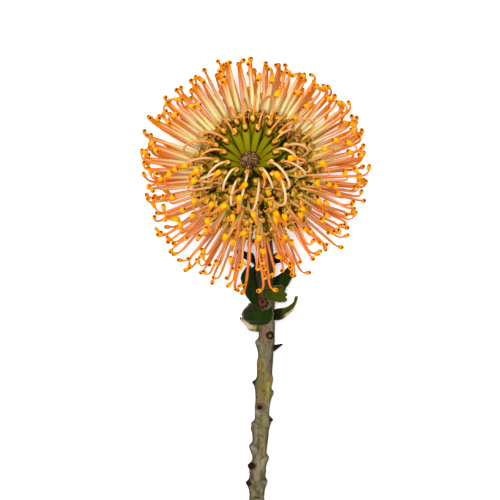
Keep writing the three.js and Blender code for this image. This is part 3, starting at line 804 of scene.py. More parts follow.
class PROTEA_OT_looped_styles(bpy.types.Operator):
    """The bowed styles whose tips the shut limbs still hold"""

    bl_idname = "protea.looped_styles"
    bl_label = "Looped styles"

    def execute(self, context):
        head, colours = context.scene.protea_head, context.scene.protea_colours
        bow = [(14.5, 14.5), (19.5, 16.8), (24.6, 20.4), (27.0, 25.0), (24.6, 29.8), (19.8, 32.0)]
        bow = np.array([*bow, (15.6, 31.2), (12.9, 28.9), (11.2, 26.9)])
        held = bow[-1]
        share = np.linspace(0, 1, 26)
        places, widths = [0, 0.5, 0.8, 0.88, 0.95, 0.98, 1], [0.72, 0.62, 0.6, 0.8, 0.9, 0.75, 0.3]
        width = np.interp(share, places, widths) * mm
        loops = []
        for azimuth, shift, _, chance in shut_places(head):
            wide_tall = chance.uniform(0.62, 1.12), chance.uniform(0.6, 1.1)
            profile = held + (bow - held) * wide_tall + shift
            line = smooth_line(meridian(azimuth, profile), len(share))
            lean = chance.gauss(0.0, 0.3)
            bend = lean * (1 - ease(share * 1.15))
            x, y = line[:, 0].copy(), line[:, 1].copy()
            line[:, 0] = x * np.cos(bend) - y * np.sin(bend)
            line[:, 1] = x * np.sin(bend) + y * np.cos(bend)
            side = turned(sideways(azimuth + lean / 2))
            back = ease(0.5 + math.sin(azimuth))
            marks = {"chance": chance.random(), "back": back}
            loops.append(Strand(in_head(line), side, width * (1 - 0.15 * back), **marks))
        dress(gather("loops", loops, sides=7), loop_finish(colours), "style", "looped_styles")
        return {"FINISHED"}


def loop_finish(colours):
    """Looped styles: pale in the bow and orange where the limb holds them."""
    f = Finish("looped style", 0.42, Subsurface_Weight=0.08, Subsurface_Scale=0.001)
    foot, pale, tip = colours.style_foot, colours.style_pale, colours.style_tip
    green = colours.style_green
    stops = (0.02, colours.tube), (0.12, green), (0.4, pale), (0.7, pale), (0.84, tip)
    face = f.ramp("along", *stops)
    flank = f.ramp("along", (0.2, foot), (0.45, colours.style_edge), (0.84, tip))
    # The flanks are partly the style's own orange and partly painted shade.
    colour = f.mix(f.band("edge", 0.75, 1.0), face, flank)
    colour = f.mix(f.times("back", f.band("along", 0.1, 0.3, 0.75)), colour, tip)
    # The limb that holds the tip is cream and olive, and dark where it meets the tube.
    held = f.mix(f.band(f.noise(900, 3), 0.42, 0.6), colours.lobe_olive, foot)
    colour = f.mix(f.band("along", 0.86, 0.92, 0.8), colour, held)
    colour = f.mix(f.band("along", 0.95, 0.985), colour, colours.limb_tip)
    return f.colour(colour, 0.3)


# Rings of centre buds from the outermost in: how many, how far out each bud starts and ends, and
# half its width.
CENTRE_RINGS = ((21, 5.3, 2.7, 0.66), (14, 3.7, 1.5, 0.62), (8, 2.2, 0.5, 0.55), (3, 0.9, 0.2, 0.5))


class PROTEA_OT_centre_buds(bpy.types.Operator):
    """The smallest buds, packed into a felted cushion in the middle"""

    bl_idname = "protea.centre_buds"
    bl_label = "Centre buds"

    def execute(self, context):
        head, colours = context.scene.protea_head, context.scene.protea_colours
        chance = random.Random(head.seed + 5)
        buds = []
        for row, (count, start, end, size) in enumerate(CENTRE_RINGS):
            away = np.interp([0, 0.1, 0.35, 0.7, 1], [0, 1], [start, end])
            away[0] -= 0.5
            width = np.array([0.7, 0.95, 1.0, 1.0, 0.95, 0.85, 0.7, 0.5, 0.2]) * size * mm
            for k in range(count):
                azimuth = (k + 0.5 * (row % 2) + chance.uniform(-0.15, 0.15)) * math.tau / count
                height = 20.8 - 0.1 * away**2 + chance.uniform(-0.15, 0.15)
                height += np.array([-2.4, -0.6, 0.1, 0.1, -0.2])
                line = in_head(smooth_line(meridian(azimuth, np.stack([away, height], axis=1)), 9))
                marks = {"chance": chance.random(), "middle": row / 3}
                buds.append(Strand(line, turned(sideways(azimuth)), width, width * 0.8, **marks))
        cushion = gather("centre_cushion", buds, sides=6)
        dress(cushion, centre_finish(colours), "centre", "centre_buds")
        return {"FINISHED"}


def centre_finish(colours):
    """Purple-brown buds, pale felted crests, greyer in the middle; painted shade between them."""
    f = Finish("centre bud", 0.85)
    crest = f.times(f.band("edge", 0.85, 0.2), f.band(f.noise(700, 4), 0.40, 0.62))
    colour = f.mix(crest, colours.centre, colours.centre_hair)
    colour = f.mix(f.times("middle", 0.55), colour, colours.bract)
    # Painted shade, in the limb tips' purple-black, between the buds and at their feet.
    shade_between_buds = f.plus(f.band("edge", 0.75, 1.0), f.band("along", 0.3, 0.0))
    shade_between_buds = f.maths("MULTIPLY", shade_between_buds, 0.85, clamp=True)
    colour = f.mix(shade_between_buds, colour, colours.limb_tip)
    f.bump(f.noise(2400, 3), 0.2 * mm, 0.7)
    return f.colour(colour, 0.6)


BRACT_ROWS = 6  # from the stem outwards, each with two bracts more than the last


class PROTEA_OT_involucre(bpy.types.Operator):
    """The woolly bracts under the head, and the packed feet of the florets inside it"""

    bl_idname = "protea.involucre"
    bl_label = "Involucre and core"

    def execute(self, context):
        head, colours = context.scene.protea_head, context.scene.protea_colours
        chance = random.Random(head.seed + 6)
        width = np.array([1.5, 2.0, 2.25, 2.25, 1.95, 1.4, 0.8, 0.15]) * mm
        thick = np.array([0.6, 0.6, 0.55, 0.5, 0.42, 0.35, 0.25, 0.1]) * mm
        bracts = []
        for row in range(BRACT_ROWS):
            share = row / (BRACT_ROWS - 1)
            foot = np.array([5.0 + 10.5 * share, -25.0 + 8.6 * share])
            profile = foot + np.array([(0, 0.6), (2.0, 0.6), (4.0, 2.0), (5.9, 4.6)])
            count = 9 + 2 * row
            for k in range(count):
                azimuth = (k + 0.5 * (row % 2) + chance.uniform(-0.12, 0.12)) * math.tau / count
                line = in_head(smooth_line(meridian(azimuth, profile), 8))
                side = turned(sideways(azimuth))
                bracts.append(Strand(line, side, width, thick, chance=chance.random()))
        dress(gather("bracts", bracts, sides=8), bract_finish(colours), "bract", "involucre")
        dress(floret_core(), core_finish(colours), "perianth")
        return {"FINISHED"}


def floret_core():
    """The solid heart that the tubes stand in: a lumpy ball, flat below and pressed down on top."""
    radius, lump, under, top = 19.5 * mm, 0.6 * mm, -19.0 * mm, 14.5 * mm
    lumps, pressed = 9, 0.3
    ball = bmesh.new()
    bmesh.ops.create_uvsphere(ball, u_segments=64, v_segments=32, radius=1)
    for v in ball.verts:
        away = v.co.normalized()
        v.co = away * (radius + lump * noise.noise(away * lumps))
        v.co.z = max(v.co.z, under)
        v.co.z = min(v.co.z, top + (v.co.z - top) * pressed)
    for v, point in zip(ball.verts, in_head([v.co for v in ball.verts])):
        v.co = point
    return link_piece("floret_core", finished("floret_core", ball))


def core_finish(colours):
    """Packed feet of the florets, seen only through gaps."""
    f = Finish("floret core", 0.8)
    packed = f.band(f.noise(600, 3), 0.45, 0.6)
    f.bump(f.noise(900, 3), 0.4 * mm, 0.8)
    return f.colour(f.mix(packed, colours.tube_dark, colours.lobe_deep))


def bract_finish(colours):
    """Grey-green wool over pointed bracts, browner at their tips."""
    f = Finish("bract", 0.85, Sheen_Weight=0.5)
    wool = f.noise(1500, 4)
    colour = f.mix(f.band("along", 0.55, 1.0), colours.bract, colours.lobe_deep)
    f.bump(wool, 0.3 * mm, 0.8)
    return f.colour(f.vary(colour, wool, 0.6), 0.25)


# ---- Stem ----

# The stem's middle line from the head to the cut, in millimetres from the head's middle over the
# surface, with the height above the surface and the radius. It is the solid stem's own line.
STEM_LINE = (
    (1.2, -5.8, 25.4, 4.9),
    (2.5, -12.0, 12.9, 4.7),
    (3.1, -17.0, 8.7, 4.5),
    (3.7, -23.5, 7.0, 4.3),
    (4.5, -38.0, 6.5, 4.2),
    (5.1, -56.0, 6.2, 4.25),
    (5.2, -75.0, 5.8, 3.95),
    (4.5, -93.0, 5.3, 3.75),
    (3.4, -110.0, 4.8, 3.6),
    (2.1, -131.0, 4.3, 3.55),
    (0.6, -155.0, 3.6, 3.5),
    (-0.8, -176.0, 3.2, 3.45),
)
STEM_RINGS, STEM_SIDES = 640, 40
SURFACE_ORIGIN = np.array([HEAD_MIDDLE.x, HEAD_MIDDLE.y, 0.0])


def on_surface(points):
    """Millimetres from the head's middle over the surface, in the part's frame."""
    return np.asarray(points, float) * mm + SURFACE_ORIGIN


def stem_line():
    """Points and radii along the stem, evenly spaced, and how far along it each is."""
    rough = smooth_line(STEM_LINE, 600)
    reach = distances(rough)
    places = np.linspace(0, reach[-1], STEM_RINGS)
    even = np.stack([np.interp(places, reach, rough[:, i]) for i in range(4)], axis=1)
    return on_surface(even[:, :3]), even[:, 3] * mm, places * mm


class PROTEA_OT_stem(bpy.types.Operator):
    """The woody stem with its leaf scars, buds and the stub of a leaf stalk"""

    bl_idname = "protea.stem"
    bl_label = "Stem"

    def execute(self, context):
        settings = context.scene.protea_stem
        line, radius, reach = stem_line()
        stem = gather("bark", [Strand(line, np.array([1.0, 0.0, 0.0]), radius)], STEM_SIDES)
        roughen_bark(stem.data, line, reach, settings)
        dress(stem, bark_finish(settings), "stem", "stem")
        dress(gather("buds", bud_strands(), sides=10), bud_finish(settings), "stem")
        return {"FINISHED"}


# The large bud in the axil of the front leaf: its foot, and the way it points.
BUD_FOOT = np.array([3.2, -61.6, 9.6])
BUD_HEADING = unit(np.array([0.0, 0.2, 1.0]))
BUD_SCALES = 9
STUB = ((6.6, -84.2, 5.6), (8.8, -83.6, 5.9), (11.2, -82.6, 6.3), (13.4, -81.6, 6.8))


def bud_strands():
    """The large axillary bud with its scales, and the stub of a leaf stalk."""
    side = unit(np.cross(BUD_HEADING, [0, 1.0, 0]))
    front = np.cross(side, BUD_HEADING)
    line = on_surface(BUD_FOOT + BUD_HEADING * np.linspace(0, 4.4, 9)[:, None])
    width = np.array([1.4, 1.8, 1.95, 2.0, 2.0, 1.85, 1.5, 1.0, 0.2]) * mm
    strands = [Strand(line, side, width, body=1.0, stub=0.0)]
    width = np.array([0.7, 0.8, 0.85, 0.8, 0.7, 0.6, 0.45, 0.3, 0.1]) * mm
    for k in range(BUD_SCALES):
        turn = k * math.tau / BUD_SCALES + 0.3 * math.sin(5 * k)
        away = math.cos(turn) * side + math.sin(turn) * front
        # Each scale clasps the bud, and its point turns out.
        reach = np.array([1.5, 2.2, 2.6, 2.7, 2.8, 3.0])[:, None]
        rise = np.array([0.0, 0.7, 1.4, 2.0, 2.5, 2.9])[:, None] * (0.75 + 0.3 * math.sin(3 * k))
        line = on_surface(smooth_line(BUD_FOOT + away * reach + BUD_HEADING * rise, 9))
        broad = np.cross(BUD_HEADING, away)
        strands.append(Strand(line, broad, width, width * 0.4, body=0.0, stub=0.0))
    line = on_surface(smooth_line(STUB, 9))
    width = np.array([2.2, 2.1, 1.9, 1.6, 1.3, 1.0, 0.8, 0.55, 0.15]) * mm
    strands.append(Strand(line, np.array([0, 1.0, 0]), width, width * 0.6, body=0.0, stub=1.0))
    return strands


def bud_finish(settings):
    """A red-brown bud in dark dry scales, and a black-green stub."""
    f = Finish("bud", 0.6)
    dark = settings.bud
    fleck = f.band(f.noise(1300, 3), 0.4, 0.65)
    body = f.mix(f.times(fleck, 0.6), settings.bud_body, settings.wood_brown)
    body = f.mix(f.band("along", 0.75, 1.0), body, dark)
    scale = f.mix(f.times(fleck, 0.5), dark, settings.bud_body)
    scale = f.mix(f.band("edge", 0.7, 1.0, 0.5), scale, settings.scar_rim)
    stub = f.mix(f.times(fleck, 0.4), settings.stub, dark)
    colour = f.mix("stub", f.mix("body", scale, body), stub)
    f.bump(fleck, 0.3 * mm, 0.5)
    return f.colour(colour)


# Scars and buds on the stem's upper side: distance from the head's middle along -Y and angle round
# the stem (0 on the +X side, 90 on top), both from the solid stem's line; size; and what it is.
SCARS = (
    (77.6, 62, 1.15, "eye"),
    (80.6, 168, 0.9, "knob"),
    (90.2, 140, 1.0, "scar"),
    (94.3, 128, 0.6, "scar"),
    (98.4, 38, 1.1, "scar"),
    (100.9, 176, 1.1, "bud"),
    (105.0, 12, 0.8, "knob"),
    (112.8, 110, 1.15, "hole"),
    (118.6, 10, 1.1, "bud"),
    (121.0, 172, 0.9, "knob"),
    (132.3, 165, 1.1, "knob"),
    (132.7, 62, 0.45, "scar"),
    (137.2, 15, 0.9, "knob"),
    (141.6, 140, 1.5, "bud"),
    (148.8, 30, 1.0, "knob"),
    (150.5, 160, 1.3, "bud"),
    (158.0, 85, 0.9, "knob"),
    (164.0, 150, 1.0, "knob"),
)
SCAR_SIZE = 1.35  # what the sizes above are multiplied by
SCAR_REACH = (9, 6)  # millimetres that a scar can reach along the stem and round it
SCAR_RISE = {"hole": 0.9, "eye": 0.6, "knob": 1.7, "scar": 0.9, "bud": 1.0}


def leaf_scars(line, settings):
    """Place along the stem in metres, angle round it, size and kind of each scar."""
    chance = random.Random(11)
    down = -(line[:, 1] - SURFACE_ORIGIN[1]) / mm
    reach = distances(line)
    scars = [
        (np.interp(y, down, reach), math.radians(angle), SCAR_SIZE * size, kind)
        for y, angle, size, kind in SCARS
    ]
    # The unseen side carries on the same spiral, from the cut to below the head.
    place = reach[-1] - 1.5 * mm
    number = 0
    while place > 45 * mm:
        angle = math.radians((GOLDEN * number + 20) % 360)
        if math.sin(angle) < -0.1:
            kind = chance.choice(("scar", "knob", "bud"))
            scars.append((place, angle, chance.uniform(0.7, 1.2), kind))
        place -= settings.scar_step * chance.uniform(0.8, 1.2)
        number += 1
    return scars


def scar_marks(kind, u, v):
    """A scar's height and its marks, from places down the stem and round it in scar widths."""
    far = np.hypot(v, u * 1.15)
    pit, rim = bell(far, 0.8), bell(far - 1.35, 0.4)
    # A cushion is steep towards the flower and runs out down the stem.
    height = SCAR_RISE[kind] * bell(v, 1.9) * bell(u, np.where(u < 0, 1.1, 2.8))
    if kind == "eye":
        dots = 0.5 + 0.5 * np.cos(14 * np.arctan2(v, u))
        marks = {
            "dark": bell(far - 1.0 + 0.25 * u, 0.55),
            "heart": 0.9 * bell(far, 0.7),
            "scar": 0.6 * bell(far - 1.85, 0.3) * (u > 0.6) * dots,
        }
        return height + 0.55 * rim - 0.5 * pit, marks
    if kind == "hole":
        # The dark pit of a hole and the shadow in it are painted shade.
        marks = {
            "dark": np.maximum(1.3 * bell(far, 0.85, 4), 0.75 * bell(far - 1.75, 0.15)),
            "shadow": 0.9 * bell(far, 1.75, 8),
            "rim": 0.6 * bell(v - 0.8, 1.6) * bell(u - 1.3, 0.7),
        }
        return height + 0.4 * rim - 0.7 * pit, marks
    if kind == "bud":
        marks = {"dark": bell(far - 0.5, 0.8), "scar": 0.6 * bell(v, 0.7) * bell(u - 0.9, 0.5)}
        return height + 0.9 * bell(far, 0.9), marks
    if kind == "scar":
        diamond = np.abs(v) / 1.1 + np.abs(u) / 1.6
        marks = {"scar": 0.85 * bell(diamond, 1, 4), "dark": 0.62 * bell(diamond - 1, 0.2)}
        return height + 0.12 * rim - 0.3 * pit, marks
    # A knob, with a dark mark at its foot and a painted shadow that runs on round the stem.
    marks = {
        "dark": 0.75 * bell(u + 0.7, 0.6) * bell(v, 1.2),
        "rim": 0.5 * bell(u - 0.5, 0.8) * bell(v, 1.4),
        "shadow": 0.9 * bell(u + 0.9 - 0.15 * v * v, 0.7) * bell(v, 4),
    }
    return height, marks


FLOOR_GAP = 0.02 * mm  # that the roughened bark keeps from the surface
# The young green streak: millimetres from the head's middle, and radians round the stem.
GREEN_STREAK = (103, 0.98)


def roughen_bark(mesh, line, reach, settings):
    """Raises scars and buds, wrinkles the bark between them, and marks them for the finish."""
    co = np.empty(len(mesh.vertices) * 3, np.float32)
    mesh.vertices.foreach_get("co", co)
    co = co.reshape(-1, 3).astype(float)
    ring = np.repeat(np.arange(STEM_RINGS), STEM_SIDES)
    away = co - line[ring]
    radius = np.linalg.norm(away, axis=1)
    away /= radius[:, None]
    ahead = unit(np.gradient(line, axis=0))[ring]
    broad = unit(np.array([1.0, 0, 0]) - ahead * ahead[:, :1])
    angle = np.arctan2(np.sum(np.cross(ahead, broad) * away, axis=1), np.sum(broad * away, axis=1))
    place = reach[ring]
    rise = np.zeros(len(co))
    marks = {mark: np.zeros(len(co)) for mark in ("scar", "rim", "dark", "heart", "shadow")}
    for scar_place, scar_angle, size, kind in leaf_scars(line, settings):
        along = (place - scar_place) / mm
        around = ((angle - scar_angle + math.pi) % math.tau - math.pi) * radius / mm
        near = (np.abs(along) < SCAR_REACH[0]) & (np.abs(around) < SCAR_REACH[1])
        height, scar = scar_marks(kind, along[near] / size, around[near] / size)
        rise[near] += size * height * settings.scar_rise
        for mark, amount in scar.items():
            marks[mark][near] = np.maximum(marks[mark][near], amount)
    streak_down, streak_angle = GREEN_STREAK
    down = -(line[ring, 1] - SURFACE_ORIGIN[1]) / mm
    marks["streak"] = bell(down - streak_down, 5, 4) * bell(angle - streak_angle, 0.24)
    wrinkle = np.array([noise.fractal(Vector(c) * 420, 1.0, 2.0, 3) for c in co])
    grain = [noise.noise(Vector((a * 5, p * 160, 3.0))) for a, p in zip(angle, place)]
    sway = [noise.noise(Vector((math.cos(a), math.sin(a), p * 95))) for a, p in zip(angle, place)]
    rise += (0.08 * wrinkle + 0.12 * np.array(grain) + 0.6 * np.array(sway)) * mm
    body = (ring > 0) & (ring < STEM_RINGS - 1)
    co[body] += (away * rise[:, None])[body]
    co[:, 2] = np.maximum(co[:, 2], FLOOR_GAP)
    mesh.vertices.foreach_set("co", co.astype(np.float32).ravel())
    mark_points(mesh, {**marks, "place": place, "top": np.sin(angle)})
    mesh.update()


def bark_finish(settings):
    """Grey-brown bark with green patches, dark buds, and orange scars in pale corky rims."""
    f = Finish("bark", 0.8)
    dark, brown, cork = settings.wood_dark, settings.wood_brown, settings.scar_rim
    streak = f.noise(330, 4, f.place((1.0, 0.25, 1.0)))
    speck = f.noise(1500, 3)
    colour = f.mix(f.band(streak, 0.42, 0.6, 0.75), settings.wood, dark)
    # Soft patches of green, brown and grey lie over one another.
    patches = (95, 0.52, 0.55, settings.wood_green), (140, 0.56, 0.7, brown), (120, 0.55, 0.6, cork)
    for scale, low, amount, shade in patches:
        patch = f.noise(scale, 3, f.place((1.0, 0.5, 1.0 + scale / 100)))
        colour = f.mix(f.band(patch, low, low + 0.1, amount), colour, shade)
    colour = f.mix(f.band(speck, 0.56, 0.72, 0.4), colour, cork)
    colour = f.mix(f.band(f.noise(520, 4), 0.52, 0.66, 0.6), colour, dark)
    # Painted shade: darker down the stem's sides and underside, and in its painted shadows.
    flank = f.band("top", 0.88, 0.3, 0.85)
    flank = f.maths("MAXIMUM", flank, f.times("shadow", 0.8))
    colour = f.mix(flank, colour, dark)
    # The wood is darker where it goes up into the head: partly weathered, partly painted shade.
    colour = f.mix(f.band("place", 0.078, 0.06, 0.9), colour, dark)
    young = f.times("streak", f.band(f.noise(600, 3), 0.3, 0.6))
    colour = f.mix(young, colour, settings.wood_young)
    colour = f.mix(f.times("rim", 0.8), colour, cork)
    ragged = f.plus("scar", speck, 0.3)
    colour = f.mix(f.band(ragged, 0.35, 0.85), colour, settings.scar)
    colour = f.mix("heart", colour, brown)
    ragged = f.plus("dark", speck, 0.3)
    colour = f.mix(f.band(ragged, 0.4, 1.05), colour, settings.bud)
    f.bump(f.plus(streak, speck), 0.4 * mm, 0.6)
    return f.colour(colour)


# ---- Leaves ----

# Each blade's rows from its foot to its apex: the left edge, the midrib and the right edge, in
# millimetres from the head's middle over the surface, with the height above the surface. Then what
# its finish and its edge have, where a lane runs from -1 at the left edge to 1 at the right one.
LEAVES = {
    "leaf_front": {
        "rows": (
            ((-3.3, -70.5, 11.0), (1.6, -71.6, 10.4), (6.2, -71.3, 10.8)),
            ((-6.0, -69.1, 13.2), (1.0, -69.6, 14.6), (8.2, -69.4, 13.4)),
            ((-6.8, -66.3, 13.8), (1.6, -66.9, 16.2), (8.6, -66.3, 14.2)),
            ((-3.6, -61.8, 13.0), (3.0, -64.9, 16.0), (8.1, -62.8, 13.6)),
        ),
        "notches": ((-0.6, 0.32, -2.3), (0.06, 0.2, 0.7)),
        "dry": (-1, -0.55, 0.3), "light": 0.12, "margin": 0.2,
    },
    "leaf_right": {
        "rows": (
            ((8.6, -64.6, 8.0), (8.6, -67.4, 8.0), (8.4, -70.2, 7.5)),
            ((13.3, -63.8, 9.0), (12.7, -66.5, 9.5), (12.4, -69.7, 8.5)),
            ((15.9, -62.9, 10.3), (15.9, -65.3, 10.8), (15.3, -67.6, 9.8)),
            ((18.3, -61.1, 11.0), (18.8, -62.7, 11.5), (18.6, -63.9, 10.8)),
            ((19.2, -58.3, 11.5), (20.0, -58.0, 11.8), (20.9, -58.3, 11.5)),
        ),
        "shade": (0, 0, 0.3), "dry": (1, 0.1, 0.3), "wither": 0.9, "light": 0.7, "margin": 1.0,
    },
    "leaf_left": {
        "rows": (
            ((2.6, -71.2, 8.5), (2.6, -73.4, 7.5), (2.0, -75.5, 6.5)),
            ((0.1, -71.0, 8.8), (-0.5, -73.3, 7.3), (-0.8, -75.5, 5.5)),
            ((-2.0, -70.6, 8.8), (-3.0, -72.8, 7.0), (-3.3, -75.2, 4.8)),
            ((-4.8, -69.4, 8.4), (-5.0, -71.0, 7.0), (-4.8, -73.0, 5.6)),
            ((-7.9, -68.5, 7.5), (-7.9, -69.0, 7.0), (-7.4, -69.9, 6.6)),
        ),
        "dry": (1, -0.6, 0.12), "wither": 1.0, "shade": (-1, -0.45, 0.0), "light": 0.9,
        "margin": 0.6,
    },
    "leaf_middle": {
        "rows": (
            ((5.1, -54.6, 10.8), (4.0, -56.4, 10.4), (4.7, -59.0, 10.8)),
            ((7.7, -53.4, 13.3), (7.4, -56.7, 13.9), (7.1, -60.4, 13.0)),
            ((11.7, -52.6, 14.2), (11.1, -56.8, 14.8), (10.8, -61.0, 14.0)),
            ((13.6, -53.0, 13.8), (14.9, -57.2, 14.2), (14.6, -61.0, 13.4)),
        ),
        "teeth": 0.5, "light": 0.75, "margin": 0.3,
    },
    "leaf_upper_right": {
        "rows": (
            ((9.0, -53.3, 7.6), (12.4, -54.2, 7.8), (14.5, -54.4, 8.4)),
            ((7.5, -51.1, 7.6), (12.7, -50.8, 8.2), (16.2, -52.0, 9.0)),
            ((8.7, -49.3, 7.8), (13.3, -48.1, 8.6), (17.8, -48.7, 9.4)),
            ((13.3, -46.2, 8.6), (15.5, -45.6, 9.0), (17.9, -45.3, 9.6)),
            ((16.5, -43.3, 9.3), (17.0, -43.1, 9.4), (17.4, -43.4, 9.6)),
        ),
        "shade": (-1, -0.2, 0.1), "light": 0.15, "margin": 0.1,
    },
    "leaf_upper_left": {
        "rows": (
            ((-2.3, -61.3, 8.0), (-0.6, -62.3, 7.6), (1.8, -62.4, 7.0)),
            ((-5.6, -56.3, 9.0), (-3.0, -56.0, 8.2), (1.4, -56.0, 7.0)),
            ((-7.1, -51.1, 9.4), (-3.9, -51.1, 8.6), (1.0, -51.1, 7.2)),
            ((-7.4, -48.4, 9.4), (-4.5, -47.7, 9.0), (0.7, -47.4, 7.6)),
            ((-5.4, -44.7, 9.6), (-3.0, -43.5, 9.2), (0.8, -44.0, 7.8)),
        ),
        "teeth": 0.6, "shade": (1, 0.55, 0.0), "light": 0.12, "margin": 0.15,
    },
    "leaf_behind": {
        "rows": (
            ((0.1, -43.8, 7.0), (-0.2, -41.9, 7.0), (-0.5, -39.8, 7.2)),
            ((-2.7, -41.0, 7.6), (-2.3, -39.1, 7.8), (-1.7, -37.0, 8.0)),
            ((-5.1, -40.1, 8.0), (-4.8, -38.2, 8.4), (-4.2, -36.4, 8.4)),
            ((-8.2, -38.2, 8.6), (-7.9, -36.7, 8.8), (-7.6, -35.5, 8.8)),
            ((-10.6, -36.1, 9.0), (-10.5, -35.3, 9.0), (-10.0, -34.5, 9.2)),
        ),
        "shade": (0, 0, 0.8), "light": 0.0, "margin": 0.1,
    },
    # A second blade behind the upper right one, on the same stalk, painted nearly black as shade.
    "leaf_shaded": {
        "rows": (
            ((4.0, -53.3, 7.0), (6.6, -53.8, 7.2), (9.9, -53.3, 7.4)),
            ((4.4, -48.1, 7.2), (6.3, -48.1, 7.6), (8.4, -47.8, 7.8)),
            ((5.0, -43.1, 7.8), (7.2, -43.1, 8.2), (9.6, -42.5, 8.2)),
            ((8.4, -37.6, 8.6), (10.5, -39.5, 9.0), (13.3, -41.0, 9.0)),
            ((13.3, -36.1, 9.4), (14.8, -37.0, 9.6), (17.0, -38.1, 9.6)),
        ),
        "shade": (0, 0, 0.85), "light": 0.0, "margin": 0.1,
    },
}


class PROTEA_OT_leaves(bpy.types.Operator):
    """The leaves below the head"""

    bl_idname = "protea.leaves"
    bl_label = "Leaves"

    def execute(self, context):
        settings = context.scene.protea_leaf
        material = leaf_finish(settings)
        for number, (name, shape) in enumerate(LEAVES.items()):
            piece = leaf_blade(name + "_blade", shape, settings, number)
            dress(piece, material, "leaf", *([name] if name != "leaf_shaded" else []))
        return {"FINISHED"}


def leaf_blade(name, shape, settings, number):
    """A blade bent along its midrib, with ragged edges and teeth at the apex."""
    lanes, steps, fine = 28, 56, 200
    sheet = bmesh.new()
    bmesh.ops.create_grid(sheet, x_segments=lanes, y_segments=steps, size=1)
    flat = np.array([v.co for v in sheet.verts])
    lane, share = flat[:, 0], (flat[:, 1] + 1) / 2

    def along(column):
        at, places = share * (fine - 1), np.arange(fine)
        return np.stack([np.interp(at, places, column[:, i]) for i in range(3)], axis=1)

    columns = [smooth_line(column, fine) for column in np.swapaxes(shape["rows"], 0, 1)]
    left, middle, right = (along(column) for column in columns)
    ahead = unit(along(unit(np.gradient(columns[1], axis=0))))
    spread = (right - left) / 2
    up = unit(np.cross(spread, ahead))
    points = list(zip(lane, share))
    ragged = [noise.noise(Vector((s * 7, math.copysign(2, x), number))) for x, s in points]
    across = (lane * (1 + 0.06 * np.array(ragged)))[:, None]
    tooth = shape.get("teeth", 0.0) * share**6 * np.cos(3 * np.pi * lane)
    for at_lane, wide, deep in shape.get("notches", ()):
        tooth -= deep * share**4 * bell(lane - at_lane, wide)
    wave = [noise.fractal(Vector((x * 1.6, s * 3.4, 7.0 * number)), 1.0, 2.0, 3) for x, s in points]
    ripple = 0.5 * np.array(wave)
    ripple += 0.2 * np.abs(lane) ** 2 * np.sin(9 * share + 2.2 * lane + number)
    place = middle + spread * across + ((left + right) / 2 - middle) * across**2
    place += up * ripple[:, None] + ahead * tooth[:, None]
    for v, co in zip(sheet.verts, on_surface(place)):
        v.co = co
    mesh = finished(name, sheet)
    mark_points(mesh, leaf_marks(shape, lane, share))
    piece = link_piece(name, mesh)
    wall = piece.modifiers.new("thickness", "SOLIDIFY")
    wall.thickness = settings.thickness
    wall.offset = 0
    return piece


def leaf_marks(shape, lane, share):
    """What the finish reads at each point of a blade."""
    # Painted shade, near black: at each blade's foot and over the part that LEAVES gives.
    way, from_lane, to_share = shape.get("shade", (0, 0, 0.06))
    shade = np.maximum(ease((to_share - share) / 0.1), ease(way * (lane - from_lane) / 0.3))
    way, from_lane, from_share = shape.get("dry", (0, 0, 0))
    dry = ease(way * (lane - from_lane) / 0.2) * ease((share - from_share) / 0.2)
    whole = {mark: lane * 0 + shape.get(mark, 0.0) for mark in ("light", "margin", "wither")}
    return {**whole, "lane": lane, "share": share, "shade": shade, "dry": dry}


def leaf_finish(settings):
    """Leathery blade: pale midrib and veins, dry patches and edges, dark teeth, painted shade."""
    f = Finish("leaf", 0.5)
    lane = f.maths("ABSOLUTE", "lane")
    mottle, coarse = f.noise(260, 4), f.noise(130, 3)
    colour = f.mix("light", settings.green, settings.green_light)
    colour = f.vary(colour, mottle, 1.3)
    colour = f.mix(f.band(coarse, 0.5, 0.66, 0.5), colour, settings.green_dark)
    sweep = f.plus("share", lane, -0.22)
    veins = f.maths("SINE", f.plus(f.times(sweep, 44.0), coarse, 5.0))
    vein = f.band(veins, 0.7, 1.0, 0.4)
    veined = f.maths("ADD", vein, f.band(lane, 0.06, 0.01, 0.15), clamp=True)
    colour = f.mix(veined, colour, settings.green_light)
    # Painted shade.
    colour = f.mix(f.times("shade", 0.93), colour, settings.shade)
    dry = f.times("dry", f.band(f.noise(380, 3), 0.25, 0.5))
    withered = f.mix("wither", settings.dry, settings.margin)
    colour = f.mix(dry, colour, f.vary(withered, mottle, 0.7))
    ragged = f.plus(lane, f.noise(420, 3), 0.16)
    edge = f.times(f.band(ragged, 0.96, 1.04), "margin")
    colour = f.mix(edge, colour, settings.margin)
    colour = f.mix(f.band("share", 0.94, 1.0, 0.7), colour, settings.gland)
    f.bump(f.plus(mottle, vein, 2.0), 0.6 * mm, 0.6)
    return f.colour(colour)


# ---- Stage ----

# Where the lights stand in metres, and how wide each is.
KEY_LIGHT = ((-0.14, 0.14, 1.25), 0.4)
FILL_LIGHT = ((0.45, -0.25, 0.7), 0.6)
VIEW_SHIFT = (-2.9 * mm, -35.4 * mm)  # of the camera from over the head's middle
SENSOR = 36  # width of the camera's sensor, in the unit that its lens is given in


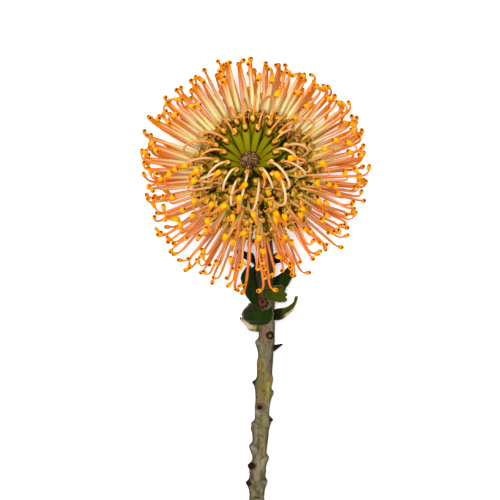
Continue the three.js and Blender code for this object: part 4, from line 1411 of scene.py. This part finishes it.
class PROTEA_OT_stage(bpy.types.Operator):
    """A plain pale floor, soft studio light, and a camera that looks straight down"""

    bl_idname = "protea.stage"
    bl_label = "Stage"

    def execute(self, context):
        stage = context.scene.protea_stage
        ground = bmesh.new()
        bmesh.ops.create_grid(ground, x_segments=1, y_segments=1, size=3)
        floor = link_piece("floor", finished("floor", ground))
        # A light table: it glows a little, so that the shadows on it stay pale.
        glow = Finish("floor", 0.9, Emission_Color=(1, 1, 1, 1), Emission_Strength=stage.glow)
        floor.data.materials.append(glow.colour(stage.floor))
        world = bpy.data.worlds.new("sky")
        world.use_nodes = True
        sky = world.node_tree.nodes["Background"].inputs
        sky["Color"].default_value = (1, 1, 1, 1)
        sky["Strength"].default_value = stage.sky
        context.scene.world = world
        soft_light("key", stage.key, *KEY_LIGHT)
        soft_light("fill", stage.fill, *FILL_LIGHT)
        context.scene.view_settings.view_transform = "Standard"
        camera = bpy.data.cameras.new("camera")
        camera.sensor_width = SENSOR
        camera.lens = SENSOR * stage.height / stage.view
        camera.clip_end = 10
        eye = bpy.data.objects.new("camera", camera)
        eye.location = HEAD_MIDDLE + Vector((*VIEW_SHIFT, stage.height))
        context.scene.collection.objects.link(eye)
        context.scene.camera = eye
        return {"FINISHED"}


def soft_light(name, watts, place, size):
    """A square lamp at that place, turned towards the middle of the floor."""
    light = bpy.data.lights.new(name, "AREA")
    light.energy = watts
    light.size = size
    lamp = bpy.data.objects.new(name, light)
    lamp.location = place
    lamp.rotation_euler = Vector(place).to_track_quat("Z", "Y").to_euler()
    bpy.context.scene.collection.objects.link(lamp)


# ---- Panel and registration ----


class PROTEA_PT_panel(bpy.types.Panel):
    """Lists the flower's pieces in the sidebar"""

    bl_idname = "PROTEA_PT_panel"
    bl_label = "Pincushion protea"
    bl_space_type = "VIEW_3D"
    bl_region_type = "UI"
    bl_category = "Protea"

    def draw(self, context):
        for operator in OPERATORS:
            self.layout.operator(operator.bl_idname)


OPERATORS = (
    PROTEA_OT_stem,
    PROTEA_OT_leaves,
    PROTEA_OT_involucre,
    PROTEA_OT_perianths,
    PROTEA_OT_styles,
    PROTEA_OT_shut_florets,
    PROTEA_OT_looped_styles,
    PROTEA_OT_centre_buds,
    PROTEA_OT_stage,
)
SETTINGS = {
    "protea_head": HeadSettings,
    "protea_colours": FloretColours,
    "protea_stem": StemSettings,
    "protea_leaf": LeafSettings,
    "protea_stage": StageSettings,
}


def register():
    for name, group in SETTINGS.items():
        bpy.utils.register_class(group)
        setattr(bpy.types.Scene, name, bpy.props.PointerProperty(type=group))
    for operator in OPERATORS:
        bpy.utils.register_class(operator)
    bpy.utils.register_class(PROTEA_PT_panel)


def unregister():
    bpy.utils.unregister_class(PROTEA_PT_panel)
    for operator in reversed(OPERATORS):
        bpy.utils.unregister_class(operator)
    for name, group in SETTINGS.items():
        delattr(bpy.types.Scene, name)
        bpy.utils.unregister_class(group)


def main():
    register()
    bpy.ops.protea.stem()
    bpy.ops.protea.leaves()
    bpy.ops.protea.involucre()
    bpy.ops.protea.perianths()
    bpy.ops.protea.styles()
    bpy.ops.protea.shut_florets()
    bpy.ops.protea.looped_styles()
    bpy.ops.protea.centre_buds()
    bpy.ops.protea.stage()


if __name__ == "__main__":
    main()
